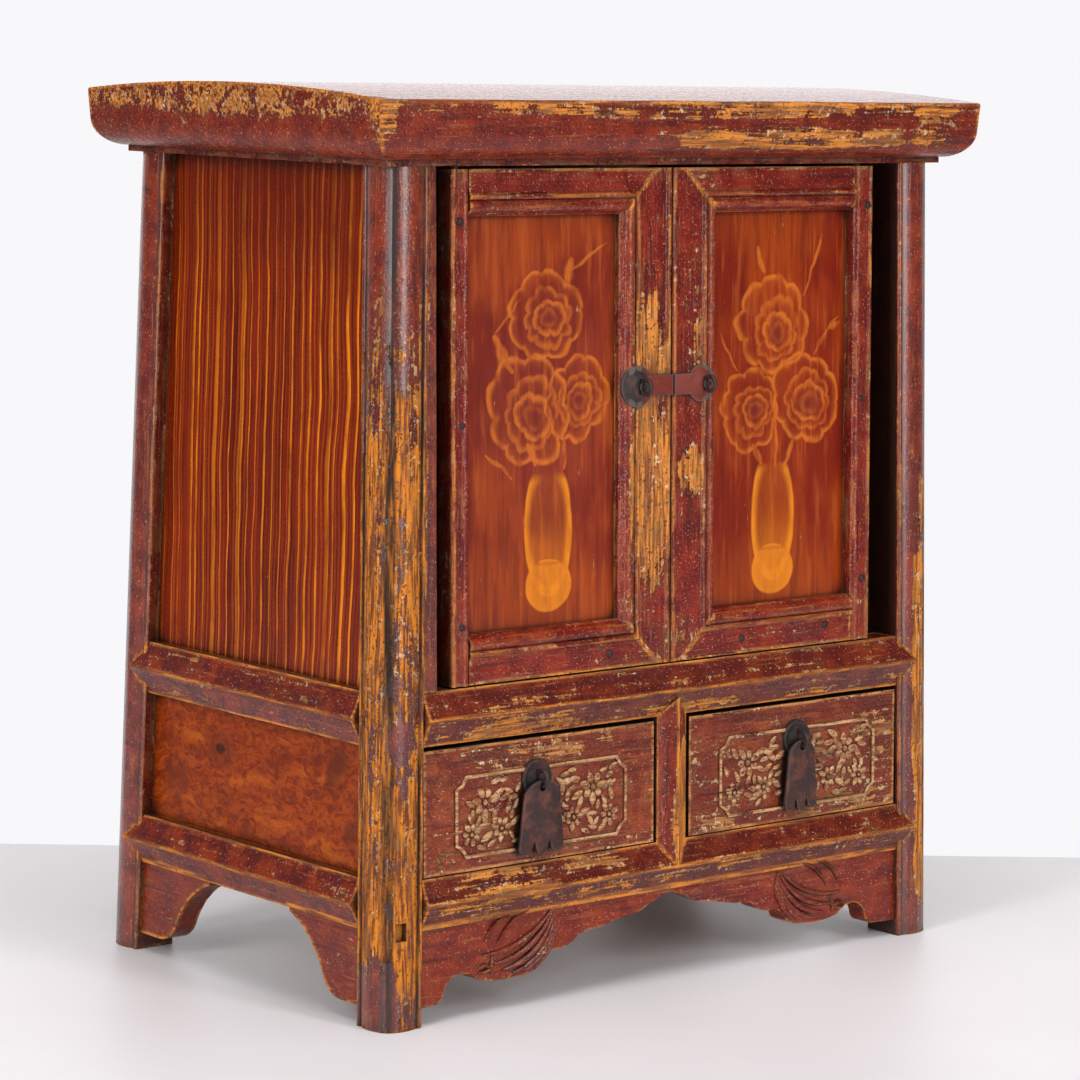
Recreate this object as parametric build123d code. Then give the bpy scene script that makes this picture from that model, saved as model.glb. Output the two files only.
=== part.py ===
from build123d import *
import os
from math import atan2, cos, radians, sin

# Desktop cabinet with two doors over two drawers, in millimetres.
# Origin on the floor under the middle, +Z up, front faces -Y, X to the right.

# --- overall ---
TOP_WIDTH = 404
TOP_DEPTH = 246
EDGE_HEIGHT = 450       # floor to the upper arris of the top board
TOP_THICKNESS = 28.8    # of the top board along its edges
TOP_CROWN = 5.5         # rise of the cupped top board along its middle
ARRIS = 1.6             # rounding of the top board's long upper edges
BED_HEIGHT = 3.2        # thin bed moulding between the top board and the posts
END_OVERHANG = 13       # top board beyond the posts' feet, at each end
FRONT_OVERHANG = 4      # the same at the front and the back
END_LEAN = 6            # how far a side wall leans in, from the floor to the posts' tops
FRONT_LEAN = 12
POST = 24               # section of a post

SHOULDER = EDGE_HEIGHT - TOP_THICKNESS - BED_HEIGHT     # top ends of the posts
FLOOR_WIDTH = TOP_WIDTH - 2 * END_OVERHANG              # over the posts, at the floor
SHOULDER_WIDTH = FLOOR_WIDTH - 2 * END_LEAN
FLOOR_DEPTH = TOP_DEPTH - 2 * FRONT_OVERHANG
SHOULDER_DEPTH = FLOOR_DEPTH - 2 * FRONT_LEAN
DOORWAY = SHOULDER_WIDTH / 2 - POST                     # half the width between the posts' tops

# --- fits ---
DRAWER_CLEARANCE = 0.5
DOOR_CLEARANCE = 0.8    # between the two meeting stiles
DOOR_TOP_CLEARANCE = 1.6
DOOR_FOOT_CLEARANCE = 1.0
PIVOT_CLEARANCE = 0.1   # radial, round a door's wooden pins
RING_SLACK = 0.3        # between a pull's hole and the eye it hangs from
GROOVE = 4              # how far a board enters the groove around it
FLOOR_GROOVE = 3
DRAWER_SIDE_PLAY = 1
DRAWER_BACK_PLAY = 7

# --- rails ---
UPPER_LOW = 137.5       # height of the upper rails' undersides
UPPER_HIGH = 164.2
LOWER_LOW = 47.2
LOWER_HIGH = 72.4
RAIL_THICKNESS = 18
EDGE_SINK = 3           # a rail's long edges lie behind the post faces
RIDGE = 3.2             # its ridge stands in front of them
HOLLOW = 0.6            # sag of the two faces beside the ridge
TIP = 11                # length of a pointed rail end on a post's face
INLAY = 6               # how deep a pointed end is let in
DIVIDER = 20
TIP_SET = 3.5           # the divider's upper point ends this far below the rail's ridge
BRACKET_FOOT = 15       # flat sole of a side bracket, out from its post
PANEL = 6               # thickness of the side and back panels
PANEL_SINK = 8
FLOOR_BOARD = 8
FLOOR_DROP = 6.2        # compartment floor below the upper rails' top edges
LEFT_SCALLOPS = 1       # the apron's two halves were cut by eye: the right one is narrower
RIGHT_SCALLOPS = 0.955

# --- doors ---
MEETING_X = -1.5
LEFT_DOOR_GAP = 14.7    # between a closed door and the post's top
RIGHT_DOOR_GAP = 17.6
DOOR_THICKNESS = 16
DOOR_SINK = 2
MEETING_STILE = 32
LEFT_PIVOT_STILE = 11
RIGHT_PIVOT_STILE = 13
PIVOT_IN = 6.5          # a door's axis, in from its outer edge
DOOR_TOP_RAIL = 23
DOOR_FOOT_RAIL = 24.5
DOOR_PANEL_SINK = 8
DOOR_PANEL = 6
PIVOT_PIN = 3           # radius
PIVOT_PIN_LENGTH = 5
JAMB_SHOWS = 5.8        # strip beside the near post

LEFT_DOOR = DOORWAY - LEFT_DOOR_GAP + MEETING_X - DOOR_CLEARANCE / 2
RIGHT_DOOR = DOORWAY - RIGHT_DOOR_GAP - MEETING_X - DOOR_CLEARANCE / 2
JAMB_EDGE = JAMB_SHOWS - DOORWAY

# --- iron fittings ---
LOCK_UP = 15.9          # lock above the middle of the doors
LOCK_HEIGHT = (UPPER_HIGH + SHOULDER) / 2 + LOCK_UP
LOCK_TONGUE = 10.5
IRON = 1.4
LEFT_PULL_UP = 10.45    # pulls above and beside the middle of their drawers
RIGHT_PULL_UP = 12.05
LEFT_PULL_OUT = 4
RIGHT_PULL_OUT = 1
LEFT_PULL_HEIGHT = (LOWER_HIGH + UPPER_LOW) / 2 + LEFT_PULL_UP
RIGHT_PULL_HEIGHT = (LOWER_HIGH + UPPER_LOW) / 2 + RIGHT_PULL_UP
RING_RADIUS = 4         # middle line of the flat eye that a pull hangs from
RING_WIRE = 1.1         # half its breadth
EYE_THICKNESS = 1.6
RING_REACH = 5.2        # from the drawer front to the eye's centre
PULL_LENGTH = 37.5
PULL_THICKNESS = 1.8
PULL_HOLE = 1.9

# Each wall: outer reach at the floor, outer reach at the shoulder, turn about Z.
WALLS = {
    "front": (FLOOR_DEPTH / 2, SHOULDER_DEPTH / 2, 0),
    "right": (FLOOR_WIDTH / 2, SHOULDER_WIDTH / 2, 90),
    "back": (FLOOR_DEPTH / 2, SHOULDER_DEPTH / 2, 180),
    "left": (FLOOR_WIDTH / 2, SHOULDER_WIDTH / 2, -90),
}
BESIDE = {"front": "right", "back": "right", "left": "front", "right": "front"}
LEAN = (SHOULDER_DEPTH - FLOOR_DEPTH) / 2 / SHOULDER
LEAN_ANGLE = atan2(-LEAN, 1)
FRONT_WALL = Plane(
    origin=(0, -FLOOR_DEPTH / 2, 0),
    x_dir=(1, 0, 0),
    z_dir=(0, -cos(LEAN_ANGLE), sin(LEAN_ANGLE)),
)

pieces = {}


def reach(wall, height):
    """Distance from the middle to a wall's leaning outer face."""
    at_floor, at_shoulder, turn = WALLS[wall]
    return at_floor + (at_shoulder - at_floor) * height / SHOULDER


def inner(wall, height):
    """Half the clear span between the posts along a wall."""
    return reach(BESIDE[wall], height) - POST


def turned(wall, solid):
    """Turn a solid made for the front to another wall."""
    return Rot(0, 0, WALLS[wall][2]) * solid


def at(wall, out, height):
    """Point of a wall's cross-section: out is counted from its outer face."""
    return (-(reach(wall, height) + out), height)


def bar(wall, outline, half):
    """Bar along a wall from its cross-section in the YZ plane."""
    return extrude(Plane.YZ * make_face(outline), half, both=True)


def slab(wall, outer, thickness, low, high, half):
    """Flat leaning board, parallel to a wall's face."""
    corners = [(outer, low), (outer, high), (outer - thickness, high), (outer - thickness, low)]
    outline = Polyline([at(wall, out, height) for out, height in corners], close=True)
    return bar(wall, outline, half)


def elevation(outline):
    """Prism through the front half of the cabinet with this outline in elevation."""
    return extrude(Plane.XZ * make_face(outline), FLOOR_DEPTH)


def peaked(wall, low, high, half, thickness):
    """Rail with a sharp ridge along its face and a slightly hollow slope on each side."""
    ridge = (low + high) / 2
    out = (RIDGE - EDGE_SINK) / 2 - HOLLOW
    back = Polyline(
        at(wall, -EDGE_SINK, high),
        at(wall, -thickness, high),
        at(wall, -thickness, low),
        at(wall, -EDGE_SINK, low),
    )
    lower = ThreePointArc(
        at(wall, -EDGE_SINK, low), at(wall, out, (low + ridge) / 2), at(wall, RIDGE, ridge)
    )
    upper = ThreePointArc(
        at(wall, RIDGE, ridge), at(wall, out, (ridge + high) / 2), at(wall, -EDGE_SINK, high)
    )
    return bar(wall, back + lower + upper, half)


def pointed_ends(wall, low, high, tips):
    """The parts of a rail that run out in a point over the posts' faces."""
    middle = (low + high) / 2
    ends = []
    for sign in tips:
        outline = Polyline(
            (sign * (inner(wall, low) - 1), low),
            (sign * inner(wall, low), low),
            (sign * (inner(wall, middle) + TIP), middle),
            (sign * inner(wall, high), high),
            (sign * (inner(wall, high) - 1), high),
            close=True,
        )
        ends.append(peaked(wall, low, high, FLOOR_WIDTH / 2, INLAY) & elevation(outline))
    return ends


def post_blank():
    """Leaning post at the front left: two reeds that meet in a valley at the corner."""
    run = Vector((FLOOR_WIDTH - SHOULDER_WIDTH) / 2, (FLOOR_DEPTH - SHOULDER_DEPTH) / 2, SHOULDER)
    slant = run.normalized()
    foot = Vector(-FLOOR_WIDTH / 2, -FLOOR_DEPTH / 2, 0)
    groove = POST - 3.2
    more = POST + 1
    reeds = (
        ThreePointArc((2.6, 2.6), (9, 0), (groove, 1.5))
        + ThreePointArc((groove, 1.5), (POST - 1.4, 0.7), (POST, 1.8))
        + Polyline((POST, 1.8), (more, 1.8), (more, more), (1.8, more), (1.8, POST))
        + ThreePointArc((1.8, POST), (0.7, POST - 1.4), (1.5, groove))
        + ThreePointArc((1.5, groove), (0, 9), (2.6, 2.6))
    )
    across = Plane(origin=foot - slant * 5, x_dir=(1, 0, 0), z_dir=slant)
    moulded = extrude(across * make_face(reeds), run.length + 10)
    square = Polyline((-1, -1), (POST, -1), (POST, POST), (-1, POST), close=True)
    return moulded & extrude(Pos(foot) * make_face(square), run.length, dir=slant)


def mirrored(solid, x_sign, y_sign):
    """Mirror a front left solid to the corner with these signs."""
    if x_sign > 0:
        solid = mirror(solid, about=Plane.YZ)
    if y_sign > 0:
        solid = mirror(solid, about=Plane.XZ)
    return solid


def whole(solid):
    """Join a list of touching solids into one."""
    first, *rest = solid
    for other in rest:
        first = first + other
    return first


def cut(solid, tools):
    """Take the tools' space out of a solid."""
    for tool in tools:
        solid = solid - tool
    return solid


# ---------------------------------------------------------------- top board
def edge_profile(half):
    """One side of the top board's outline under the arris: steep edge, round belly."""
    low = SHOULDER + BED_HEIGHT
    steep = Line((half, EDGE_HEIGHT - ARRIS), (half - 0.9, EDGE_HEIGHT - 15))
    belly = ThreePointArc((half - 0.9, EDGE_HEIGHT - 15), (half - 4.6, low + 4.4), (half - 12.5, low))
    return steep + belly


def top_board():
    """Cupped board, moulded on all four edges."""
    low = SHOULDER + BED_HEIGHT
    depth = TOP_DEPTH / 2
    width = TOP_WIDTH / 2
    front = edge_profile(depth)
    sag = ARRIS * (1 - cos(radians(45)))
    arris = ThreePointArc(
        (depth - ARRIS, EDGE_HEIGHT), (depth - sag, EDGE_HEIGHT - sag), (depth, EDGE_HEIGHT - ARRIS)
    )
    crown = ThreePointArc(
        (depth - ARRIS, EDGE_HEIGHT), (0, EDGE_HEIGHT + TOP_CROWN), (ARRIS - depth, EDGE_HEIGHT)
    )
    under = Line((depth - 12.5, low), (12.5 - depth, low))
    section = front + arris + crown + under + mirror(front + arris, about=Plane.YZ)
    along = extrude(Plane.YZ * make_face(section), TOP_WIDTH, both=True)
    end = edge_profile(width)
    high = EDGE_HEIGHT + TOP_CROWN + 1
    over = Polyline(
        (width, EDGE_HEIGHT - ARRIS), (width, high), (-width, high), (-width, EDGE_HEIGHT - ARRIS)
    )
    under = Line((width - 12.5, low), (12.5 - width, low))
    section = end + over + under + mirror(end, about=Plane.YZ)
    return along & extrude(Plane.XZ * make_face(section), TOP_DEPTH, both=True)


def bed_moulding():
    """Four thin mitred strips on the posts' top ends: front, right, back, left."""
    inset = 15
    width = TOP_WIDTH / 2 - inset
    depth = TOP_DEPTH / 2 - inset
    strip = 32
    outline = Polyline(
        (-width, -depth),
        (width, -depth),
        (width - strip, strip - depth),
        (strip - width, strip - depth),
        close=True,
    )
    side = Polyline(
        (-width, -depth),
        (strip - width, strip - depth),
        (strip - width, depth - strip),
        (-width, depth),
        close=True,
    )
    front = Pos(0, 0, SHOULDER) * extrude(make_face(outline), BED_HEIGHT)
    left = Pos(0, 0, SHOULDER) * extrude(make_face(side), BED_HEIGHT)
    return {
        "front": front,
        "back": mirror(front, about=Plane.XZ),
        "left": left,
        "right": mirror(left, about=Plane.YZ),
    }


# ---------------------------------------------------------------- carcase
CORNERS = {"front_left": (-1, -1), "front_right": (1, -1), "back_left": (-1, 1), "back_right": (1, 1)}
blank = post_blank()
posts = {name: mirrored(blank, *signs) for name, signs in CORNERS.items()}

# The worn near post has plain butted rails; the others take pointed rail ends.
# A wall's own x runs along it, so +1 and -1 name the ends of the turned wall.
TIPS = {"front": [1], "left": [-1], "right": [-1, 1], "back": []}


def between_posts(wall, low, high, more=0):
    """Outline of the leaning space between two posts, wider by more at each end."""
    return Polyline(
        (-inner(wall, low) - more, low),
        (inner(wall, low) + more, low),
        (inner(wall, high) + more, high),
        (-inner(wall, high) - more, high),
        close=True,
    )


def carcase_rail(wall, low, high):
    """Rail between two posts, with its pointed ends, still without grooves."""
    if wall == "back":
        body = slab(wall, -EDGE_SINK, RAIL_THICKNESS - EDGE_SINK, low, high, FLOOR_WIDTH / 2)
    else:
        body = peaked(wall, low, high, FLOOR_WIDTH / 2, RAIL_THICKNESS)
    body = turned(wall, body & elevation(between_posts(wall, low, high)))
    ends = [turned(wall, end) for end in pointed_ends(wall, low, high, TIPS[wall])]
    return whole([body] + ends), ends


def fitted_panel(wall, outer, thickness, low, high):
    """Leaning board whose ends follow the leaning posts, in grooves on its edges."""
    board = slab(wall, outer, thickness, low, high, FLOOR_WIDTH)
    return turned(wall, board & elevation(between_posts(wall, low, high, GROOVE)))


def drawn_up(height):
    """Height on the apron or a bracket, laid out in 47.2 parts from the floor to the rail."""
    return height * LOWER_LOW / 47.2


def scallops(sign, spread):
    """Half of the apron's lower edge, from its middle to the post, in elevation."""
    across = sign * spread * inner("front", LOWER_LOW) / 164.3     # 164.3 parts to the post

    def arc(*points):
        return ThreePointArc(*[(across * x, drawn_up(z)) for x, z in points])

    cuts = [
        arc((0, 45.6), (9, 42.6), (20, 38)),
        arc((20, 38), (37, 35.4), (50, 33)),
        arc((50, 33), (57, 32.7), (62, 31.2)),
        arc((62, 31.2), (67.5, 27.5), (75, 26)),
        arc((75, 26), (83, 24.4), (87, 19.3)),
        arc((87, 19.3), (93, 16.7), (101, 15.9)),
        arc((101, 15.9), (117, 15.8), (127, 17.6)),
        arc((127, 17.6), (132, 20.8), (137.5, 22.2)),
        arc((137.5, 22.2), (145, 20.2), (149, 14.2)),
        arc((149, 14.2), (150.6, 10.8), (155, 9)),
    ]
    far = sign * (inner("front", 9) + GROOVE)
    return whole(cuts) + Line((across * 155, drawn_up(9)), (far, drawn_up(8.4)))


def apron_outline():
    """The apron in elevation: scalloped below, straight above."""
    far = inner("front", 9) + GROOVE
    low = drawn_up(8.4)
    high = LOWER_LOW + GROOVE
    over = Polyline((far, low), (far, high), (-far, high), (-far, low))
    return scallops(-1, LEFT_SCALLOPS) + scallops(1, RIGHT_SCALLOPS) + over


def spandrel_outline(sign):
    """Bracket under a side rail: straight foot, then an ogee up to the rail."""
    post = inner("left", LOWER_LOW)
    far = post + GROOVE + 1
    high = LOWER_LOW + GROOVE

    def point(from_foot, height):
        return (sign * (post - BRACKET_FOOT - from_foot), drawn_up(height))

    sole = Polyline((sign * far, high), (sign * far, drawn_up(8.8)), point(0, 8.8))
    toe = ThreePointArc(point(0, 8.8), point(8.5, 11), point(15.5, 18.5))
    waist = ThreePointArc(point(15.5, 18.5), point(21, 28), point(28.5, 36))
    neck = ThreePointArc(point(28.5, 36), point(36, 41.4), point(44, 44.8))
    close = Polyline(point(44, 44.8), (point(44, 44.8)[0], high), (sign * far, high))
    return sole + toe + waist + neck + close


rails = {}
rail_ends = {}
for wall in WALLS:
    for level, low, high in (("upper", UPPER_LOW, UPPER_HIGH), ("lower", LOWER_LOW, LOWER_HIGH)):
        rails[wall, level], ends = carcase_rail(wall, low, high)
        rail_ends[wall, level] = ends

panels = {}
for wall in ("left", "right", "back"):
    panels[wall, "upper"] = fitted_panel(wall, -PANEL_SINK, PANEL, UPPER_HIGH - GROOVE, SHOULDER)
    panels[wall, "lower"] = fitted_panel(
        wall, -PANEL_SINK, PANEL, LOWER_HIGH - GROOVE, UPPER_LOW + GROOVE)

apron = slab("front", -4, 12, 0, LOWER_LOW + GROOVE, FLOOR_WIDTH) & elevation(apron_outline())
spandrel_board = slab("left", -4, 13, 0, LOWER_LOW + GROOVE, FLOOR_WIDTH)
spandrels = {}
for wall in ("left", "right"):
    both = [spandrel_board & elevation(spandrel_outline(sign)) for sign in (-1, 1)]
    spandrels[wall] = [turned(wall, one) for one in both]


def floor_board(low, high):
    """Level board in grooves of the four rails, notched round the posts."""
    x = reach("left", high) - RAIL_THICKNESS + FLOOR_GROOVE
    y = reach("front", high) - RAIL_THICKNESS + FLOOR_GROOVE
    board = Pos(0, 0, (low + high) / 2) * Box(2 * x, 2 * y, high - low)
    return cut(board, posts.values())


compartment_floor = floor_board(UPPER_HIGH - FLOOR_DROP - FLOOR_BOARD, UPPER_HIGH - FLOOR_DROP)
drawer_floor = floor_board(LOWER_HIGH - FLOOR_BOARD, LOWER_HIGH)


def divider_outlines():
    """Two outlines in elevation: the divider between the rails, and all of it with its points."""
    half = DIVIDER / 2
    between = Polyline(
        (-half, LOWER_HIGH), (half, LOWER_HIGH), (half, UPPER_LOW), (-half, UPPER_LOW), close=True
    )
    ridge_low = (LOWER_LOW + LOWER_HIGH) / 2
    ridge_high = (UPPER_LOW + UPPER_HIGH) / 2
    pointed = Polyline(
        (0, ridge_low), (half, LOWER_HIGH), (half, UPPER_LOW), (0, ridge_high - TIP_SET),
        (-half, UPPER_LOW), (-half, LOWER_HIGH), close=True
    )
    return between, pointed


def divider_solid():
    """Upright between the drawers, ridged, with both ends pointed over the rails."""
    half = DIVIDER / 2
    y = -reach("front", 0)
    peak = (
        ThreePointArc((-half, y + EDGE_SINK), (-half / 2, y + 0.5), (0, y - RIDGE))
        + ThreePointArc((0, y - RIDGE), (half / 2, y + 0.5), (half, y + EDGE_SINK))
    )

    def upright(thickness):
        back = Polyline((half, y + EDGE_SINK), (half, y + thickness), (-half, y + thickness), (-half, y + EDGE_SINK))
        slant = Vector(0, -LEAN, 1)
        return extrude(make_face(peak + back), slant.length * UPPER_HIGH, dir=slant.normalized())

    between, pointed = divider_outlines()
    body = upright(RAIL_THICKNESS) & elevation(between)
    return body + (upright(INLAY) & elevation(pointed))


def divider_notches():
    """Pointed notches in the front rails' faces, as deep as the divider's ends are let in."""
    pointed = divider_outlines()[1]
    return slab("front", 12, 12 + INLAY, LOWER_LOW, UPPER_HIGH, DIVIDER) & elevation(pointed)


divider = divider_solid()


def guide(x_low, x_high, y_low, y_high):
    """Low strip on the drawer floor that keeps a drawer straight."""
    size = (x_high - x_low, y_high - y_low, 10)
    middle = ((x_low + x_high) / 2, (y_low + y_high) / 2, LOWER_HIGH + 5)
    return Pos(*middle) * Box(*size)


BOX_INNER_X = DIVIDER / 2 + 2                           # a drawer's side next to the middle guide
BOX_OUTER_X = inner("front", UPPER_LOW) - DRAWER_SIDE_PLAY
guide_high = LOWER_HIGH + 10
back_y = reach("back", guide_high) - RAIL_THICKNESS + 4
guides = [guide(-BOX_INNER_X + 0.8, BOX_INNER_X - 0.8, -reach("front", guide_high) + RAIL_THICKNESS, back_y)]
for sign in (-1, 1):
    ends = sorted((sign * (BOX_OUTER_X + 0.8), sign * (reach("left", guide_high) - RAIL_THICKNESS + 1)))
    guides.append(guide(*ends, 0.6 - inner("left", guide_high), inner("left", guide_high) - 0.6))
guides = [cut(one, [*posts.values(), *panels.values(), *rails.values(), divider]) for one in guides]

jamb = slab("front", -2, 12, UPPER_HIGH, SHOULDER, FLOOR_WIDTH)
jamb_window = Polyline(
    (-inner("front", UPPER_HIGH) - 3, UPPER_HIGH),
    (JAMB_EDGE, UPPER_HIGH),
    (JAMB_EDGE, SHOULDER),
    (-inner("front", UPPER_HIGH) - 3, SHOULDER),
    close=True,
)
jamb = (jamb & elevation(jamb_window)) - posts["front_left"]
jamb_front = 5 - reach("front", (UPPER_HIGH + SHOULDER) / 2)
upright_edges = [e for e in jamb.edges() if e.length > (SHOULDER - UPPER_HIGH) / 2]
jamb = fillet(
    [e for e in upright_edges if e.center().X > JAMB_EDGE - 1 and e.center().Y < jamb_front], 2.5
)

# The boards are let into the posts and rails, and so are the pointed ends.
boards = [*panels.values(), apron, *spandrels["left"], *spandrels["right"]]
levels = [compartment_floor, drawer_floor]
for name in posts:
    near = [end for ends in rail_ends.values() for end in ends]
    posts[name] = cut(posts[name], near + boards)
for key in rails:
    rails[key] = cut(rails[key], boards + levels + [divider_notches()])
compartment_floor = cut(compartment_floor, boards)
drawer_floor = cut(drawer_floor, boards)

# Shallow open mortise in the near leg.
mortise = Pos(-FLOOR_WIDTH / 2 + 10.5, -reach("front", 49) - 0.5, 49) * Box(6, 6, 9)
posts["front_left"] = posts["front_left"] - mortise


# ---------------------------------------------------------------- doors
def moulding(width, edge_bead):
    """Face of a door frame member across its width: flat, thin bead, fat bead."""
    face = -DOOR_SINK
    low = face - DOOR_THICKNESS
    inner_edge = Polyline((width, face - 4.6), (width, low), (0, low))
    fat = ThreePointArc((width - 8, face - 1.3), (width - 5, face + 0.1), (width - 1.6, face - 2.6))
    fillet_in = Line((width - 1.6, face - 2.6), (width, face - 4.6))
    thin = ThreePointArc((width - 11.6, face - 1.2), (width - 9.8, face + 0.1), (width - 8, face - 1.3))
    if edge_bead:
        rim = Line((0, low), (0, face - 0.9)) + ThreePointArc((0, face - 0.9), (1.8, face), (3.6, face - 1.2))
        flat = Line((3.6, face - 1.2), (width - 11.6, face - 1.2))
    else:
        rim = Line((0, low), (0, face - 1.2))
        flat = Line((0, face - 1.2), (width - 11.6, face - 1.2))
    return rim + flat + thin + fat + fillet_in + inner_edge


DOOR_LOW = (UPPER_HIGH + DOOR_FOOT_CLEARANCE) / cos(LEAN_ANGLE)
DOOR_HIGH = (SHOULDER - DOOR_TOP_CLEARANCE) / cos(LEAN_ANGLE)
PIVOT_OUT = -DOOR_SINK - DOOR_THICKNESS / 2


def block(x0, x1, y0, y1, z0, z1):
    """Box between two corners."""
    return Pos((x0 + x1) / 2, (y0 + y1) / 2, (z0 + z1) / 2) * Box(x1 - x0, y1 - y0, z1 - z0)


def prism(points, z0, z1):
    """Prism with this outline between two heights."""
    return Pos(0, 0, z0) * extrude(make_face(Polyline(points, close=True)), z1 - z0)


def pivot_moulding(butt, width):
    """Section of the stile that a door turns on: bead at the panel, flat, bead at the edge."""
    face = -DOOR_SINK
    low = face - DOOR_THICKNESS
    bead = ThreePointArc((butt, face - 2.2), (butt + 2, face - 0.2), (butt + 5.2, face - 1.2))
    flat = Line((butt + 5.2, face - 1.2), (width - 2.8, face - 1.2))
    rim = ThreePointArc((width - 2.8, face - 1.2), (width - 1.4, face - 0.3), (width, face - 1.4))
    side = Line((width, face - 1.4), (width, low + 6))
    heel = ThreePointArc((width, low + 6), (width - 1.8, low + 1.8), (width - 6, low))
    return bead + flat + rim + side + heel + Polyline((width - 6, low), (butt, low), (butt, face - 2.2))


def door(width, pivot_stile):
    """Door in its wall's own frame: x from the meeting edge out, y up, z outward."""
    front = -DOOR_SINK + 2
    back = -DOOR_SINK - DOOR_THICKNESS - 2
    butt = width - pivot_stile
    opening_low = DOOR_LOW + DOOR_FOOT_RAIL
    opening_high = DOOR_HIGH - DOOR_TOP_RAIL

    stile = extrude(Plane.XZ * make_face(moulding(MEETING_STILE, True)), -(DOOR_HIGH - DOOR_LOW))
    stile = Pos(0, DOOR_LOW, 0) * stile

    def frame_rail(size, turn_up):
        section = Plane.YZ * make_face(moulding(size, False))
        rail = extrude(section, butt)
        if turn_up:
            return Pos(0, DOOR_LOW, 0) * rail
        return Pos(0, DOOR_HIGH, 0) * mirror(rail, about=Plane.XZ)

    top_mitre = prism(
        [(MEETING_STILE, opening_high), (butt, opening_high), (butt, DOOR_HIGH),
         (MEETING_STILE - DOOR_TOP_RAIL, DOOR_HIGH)], back, front)
    foot_mitre = prism(
        [(MEETING_STILE, opening_low), (MEETING_STILE - DOOR_FOOT_RAIL, DOOR_LOW), (butt, DOOR_LOW),
         (butt, opening_low)], back, front)
    top = frame_rail(DOOR_TOP_RAIL, False) & top_mitre
    foot = frame_rail(DOOR_FOOT_RAIL, True) & foot_mitre
    stile = stile - top_mitre - foot_mitre

    axis_x = width - PIVOT_IN
    upright = extrude(Plane.XZ * make_face(pivot_moulding(butt, width)), -(DOOR_HIGH - DOOR_LOW))
    pins = Pos(axis_x, -PIVOT_PIN_LENGTH, PIVOT_OUT) * Rot(-90, 0, 0) * Cylinder(
        PIVOT_PIN, DOOR_HIGH - DOOR_LOW + 2 * PIVOT_PIN_LENGTH,
        align=(Align.CENTER, Align.CENTER, Align.MIN))
    pivot = Pos(0, DOOR_LOW, 0) * (upright + pins)

    face = -DOOR_SINK - DOOR_PANEL_SINK
    panel = block(MEETING_STILE - GROOVE, butt + GROOVE, opening_low - GROOVE, opening_high + GROOVE,
                  face - DOOR_PANEL, face)
    return {
        "meeting_stile": stile - panel,
        "top_rail": top - panel,
        "foot_rail": foot - panel,
        "pivot_stile": pivot - panel,
        "panel": panel,
    }, axis_x


def eye(radius, wire, reach_out):
    """Flat iron eye with a shank into the wood; its hole faces sideways."""
    outline = Circle(radius + wire) - Circle(radius - wire)
    ring = Pos(0, 0, reach_out) * Rot(0, 90, 0) * extrude(outline, EYE_THICKNESS / 2, both=True)
    root = reach_out - radius
    shank = Cylinder(wire, root + 4, align=(Align.CENTER, Align.CENTER, Align.MIN))
    return ring + Pos(0, 0, -4) * shank


def raised_disc(radius, rise):
    """Round plate with a thin rim, raised in the middle."""
    outline = Polyline(
        (0, 0), (radius, 0), (radius, IRON), (radius * 0.8, IRON), (radius * 0.45, IRON + rise),
        (0, IRON + rise), close=True
    )
    return revolve(Plane.XZ * make_face(outline), Axis.Z)


def lock(centre, radius, members):
    """Plate with a tongue to the meeting line, bedded on the stile, and its eye."""
    seat = -DOOR_SINK - 1.2
    disc = Pos(centre, 0, seat) * raised_disc(radius, 3)
    tongue = block(0.1, centre, -LOCK_TONGUE / 2, LOCK_TONGUE / 2, seat, seat + 2.4)
    height = LOCK_HEIGHT / cos(LEAN_ANGLE)
    plate = Pos(0, height, 0) * (disc + tongue)
    staple = Pos(centre, height, seat + IRON + 3) * eye(3.6, 1.2, 3.6)
    plate = cut(plate, members) - staple
    return plate, staple


def place_door(hand, shape):
    """From the door's own frame to the cabinet, on the left or the right."""
    moved = Pos(DOOR_CLEARANCE / 2, 0, 0) * shape
    if hand < 0:
        moved = mirror(moved, about=Plane.YZ)
    return FRONT_WALL * (Pos(MEETING_X, 0, 0) * moved)


hinges = {}
for side, hand, width, pivot_stile, lock_x, lock_radius in (
    ("left", -1, LEFT_DOOR, LEFT_PIVOT_STILE, 23.3, 10.5),
    ("right", 1, RIGHT_DOOR, RIGHT_PIVOT_STILE, 19.5, 9.5),
):
    parts, axis_x = door(width, pivot_stile)
    frame_parts = [parts["meeting_stile"]]
    plate, staple = lock(lock_x, lock_radius, frame_parts)
    parts["meeting_stile"] = parts["meeting_stile"] - staple
    parts["lock_plate"] = plate
    parts["lock_staple"] = staple
    for name, shape in parts.items():
        pieces[f"{side}_door_{name}"] = place_door(hand, shape)
    hole = Pos(axis_x, DOOR_LOW - PIVOT_PIN_LENGTH - 1, PIVOT_OUT) * Rot(-90, 0, 0) * Cylinder(
        PIVOT_PIN + PIVOT_CLEARANCE, DOOR_HIGH - DOOR_LOW + 2 * PIVOT_PIN_LENGTH + 2,
        align=(Align.CENTER, Align.CENTER, Align.MIN))
    hinges[side] = place_door(hand, hole)
    print(side, "door axis", MEETING_X + hand * (DOOR_CLEARANCE / 2 + axis_x))

bed = bed_moulding()
board = top_board()
for hole in hinges.values():
    rails["front", "upper"] = rails["front", "upper"] - hole
    bed["front"] = bed["front"] - hole
    board = board - hole


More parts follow.
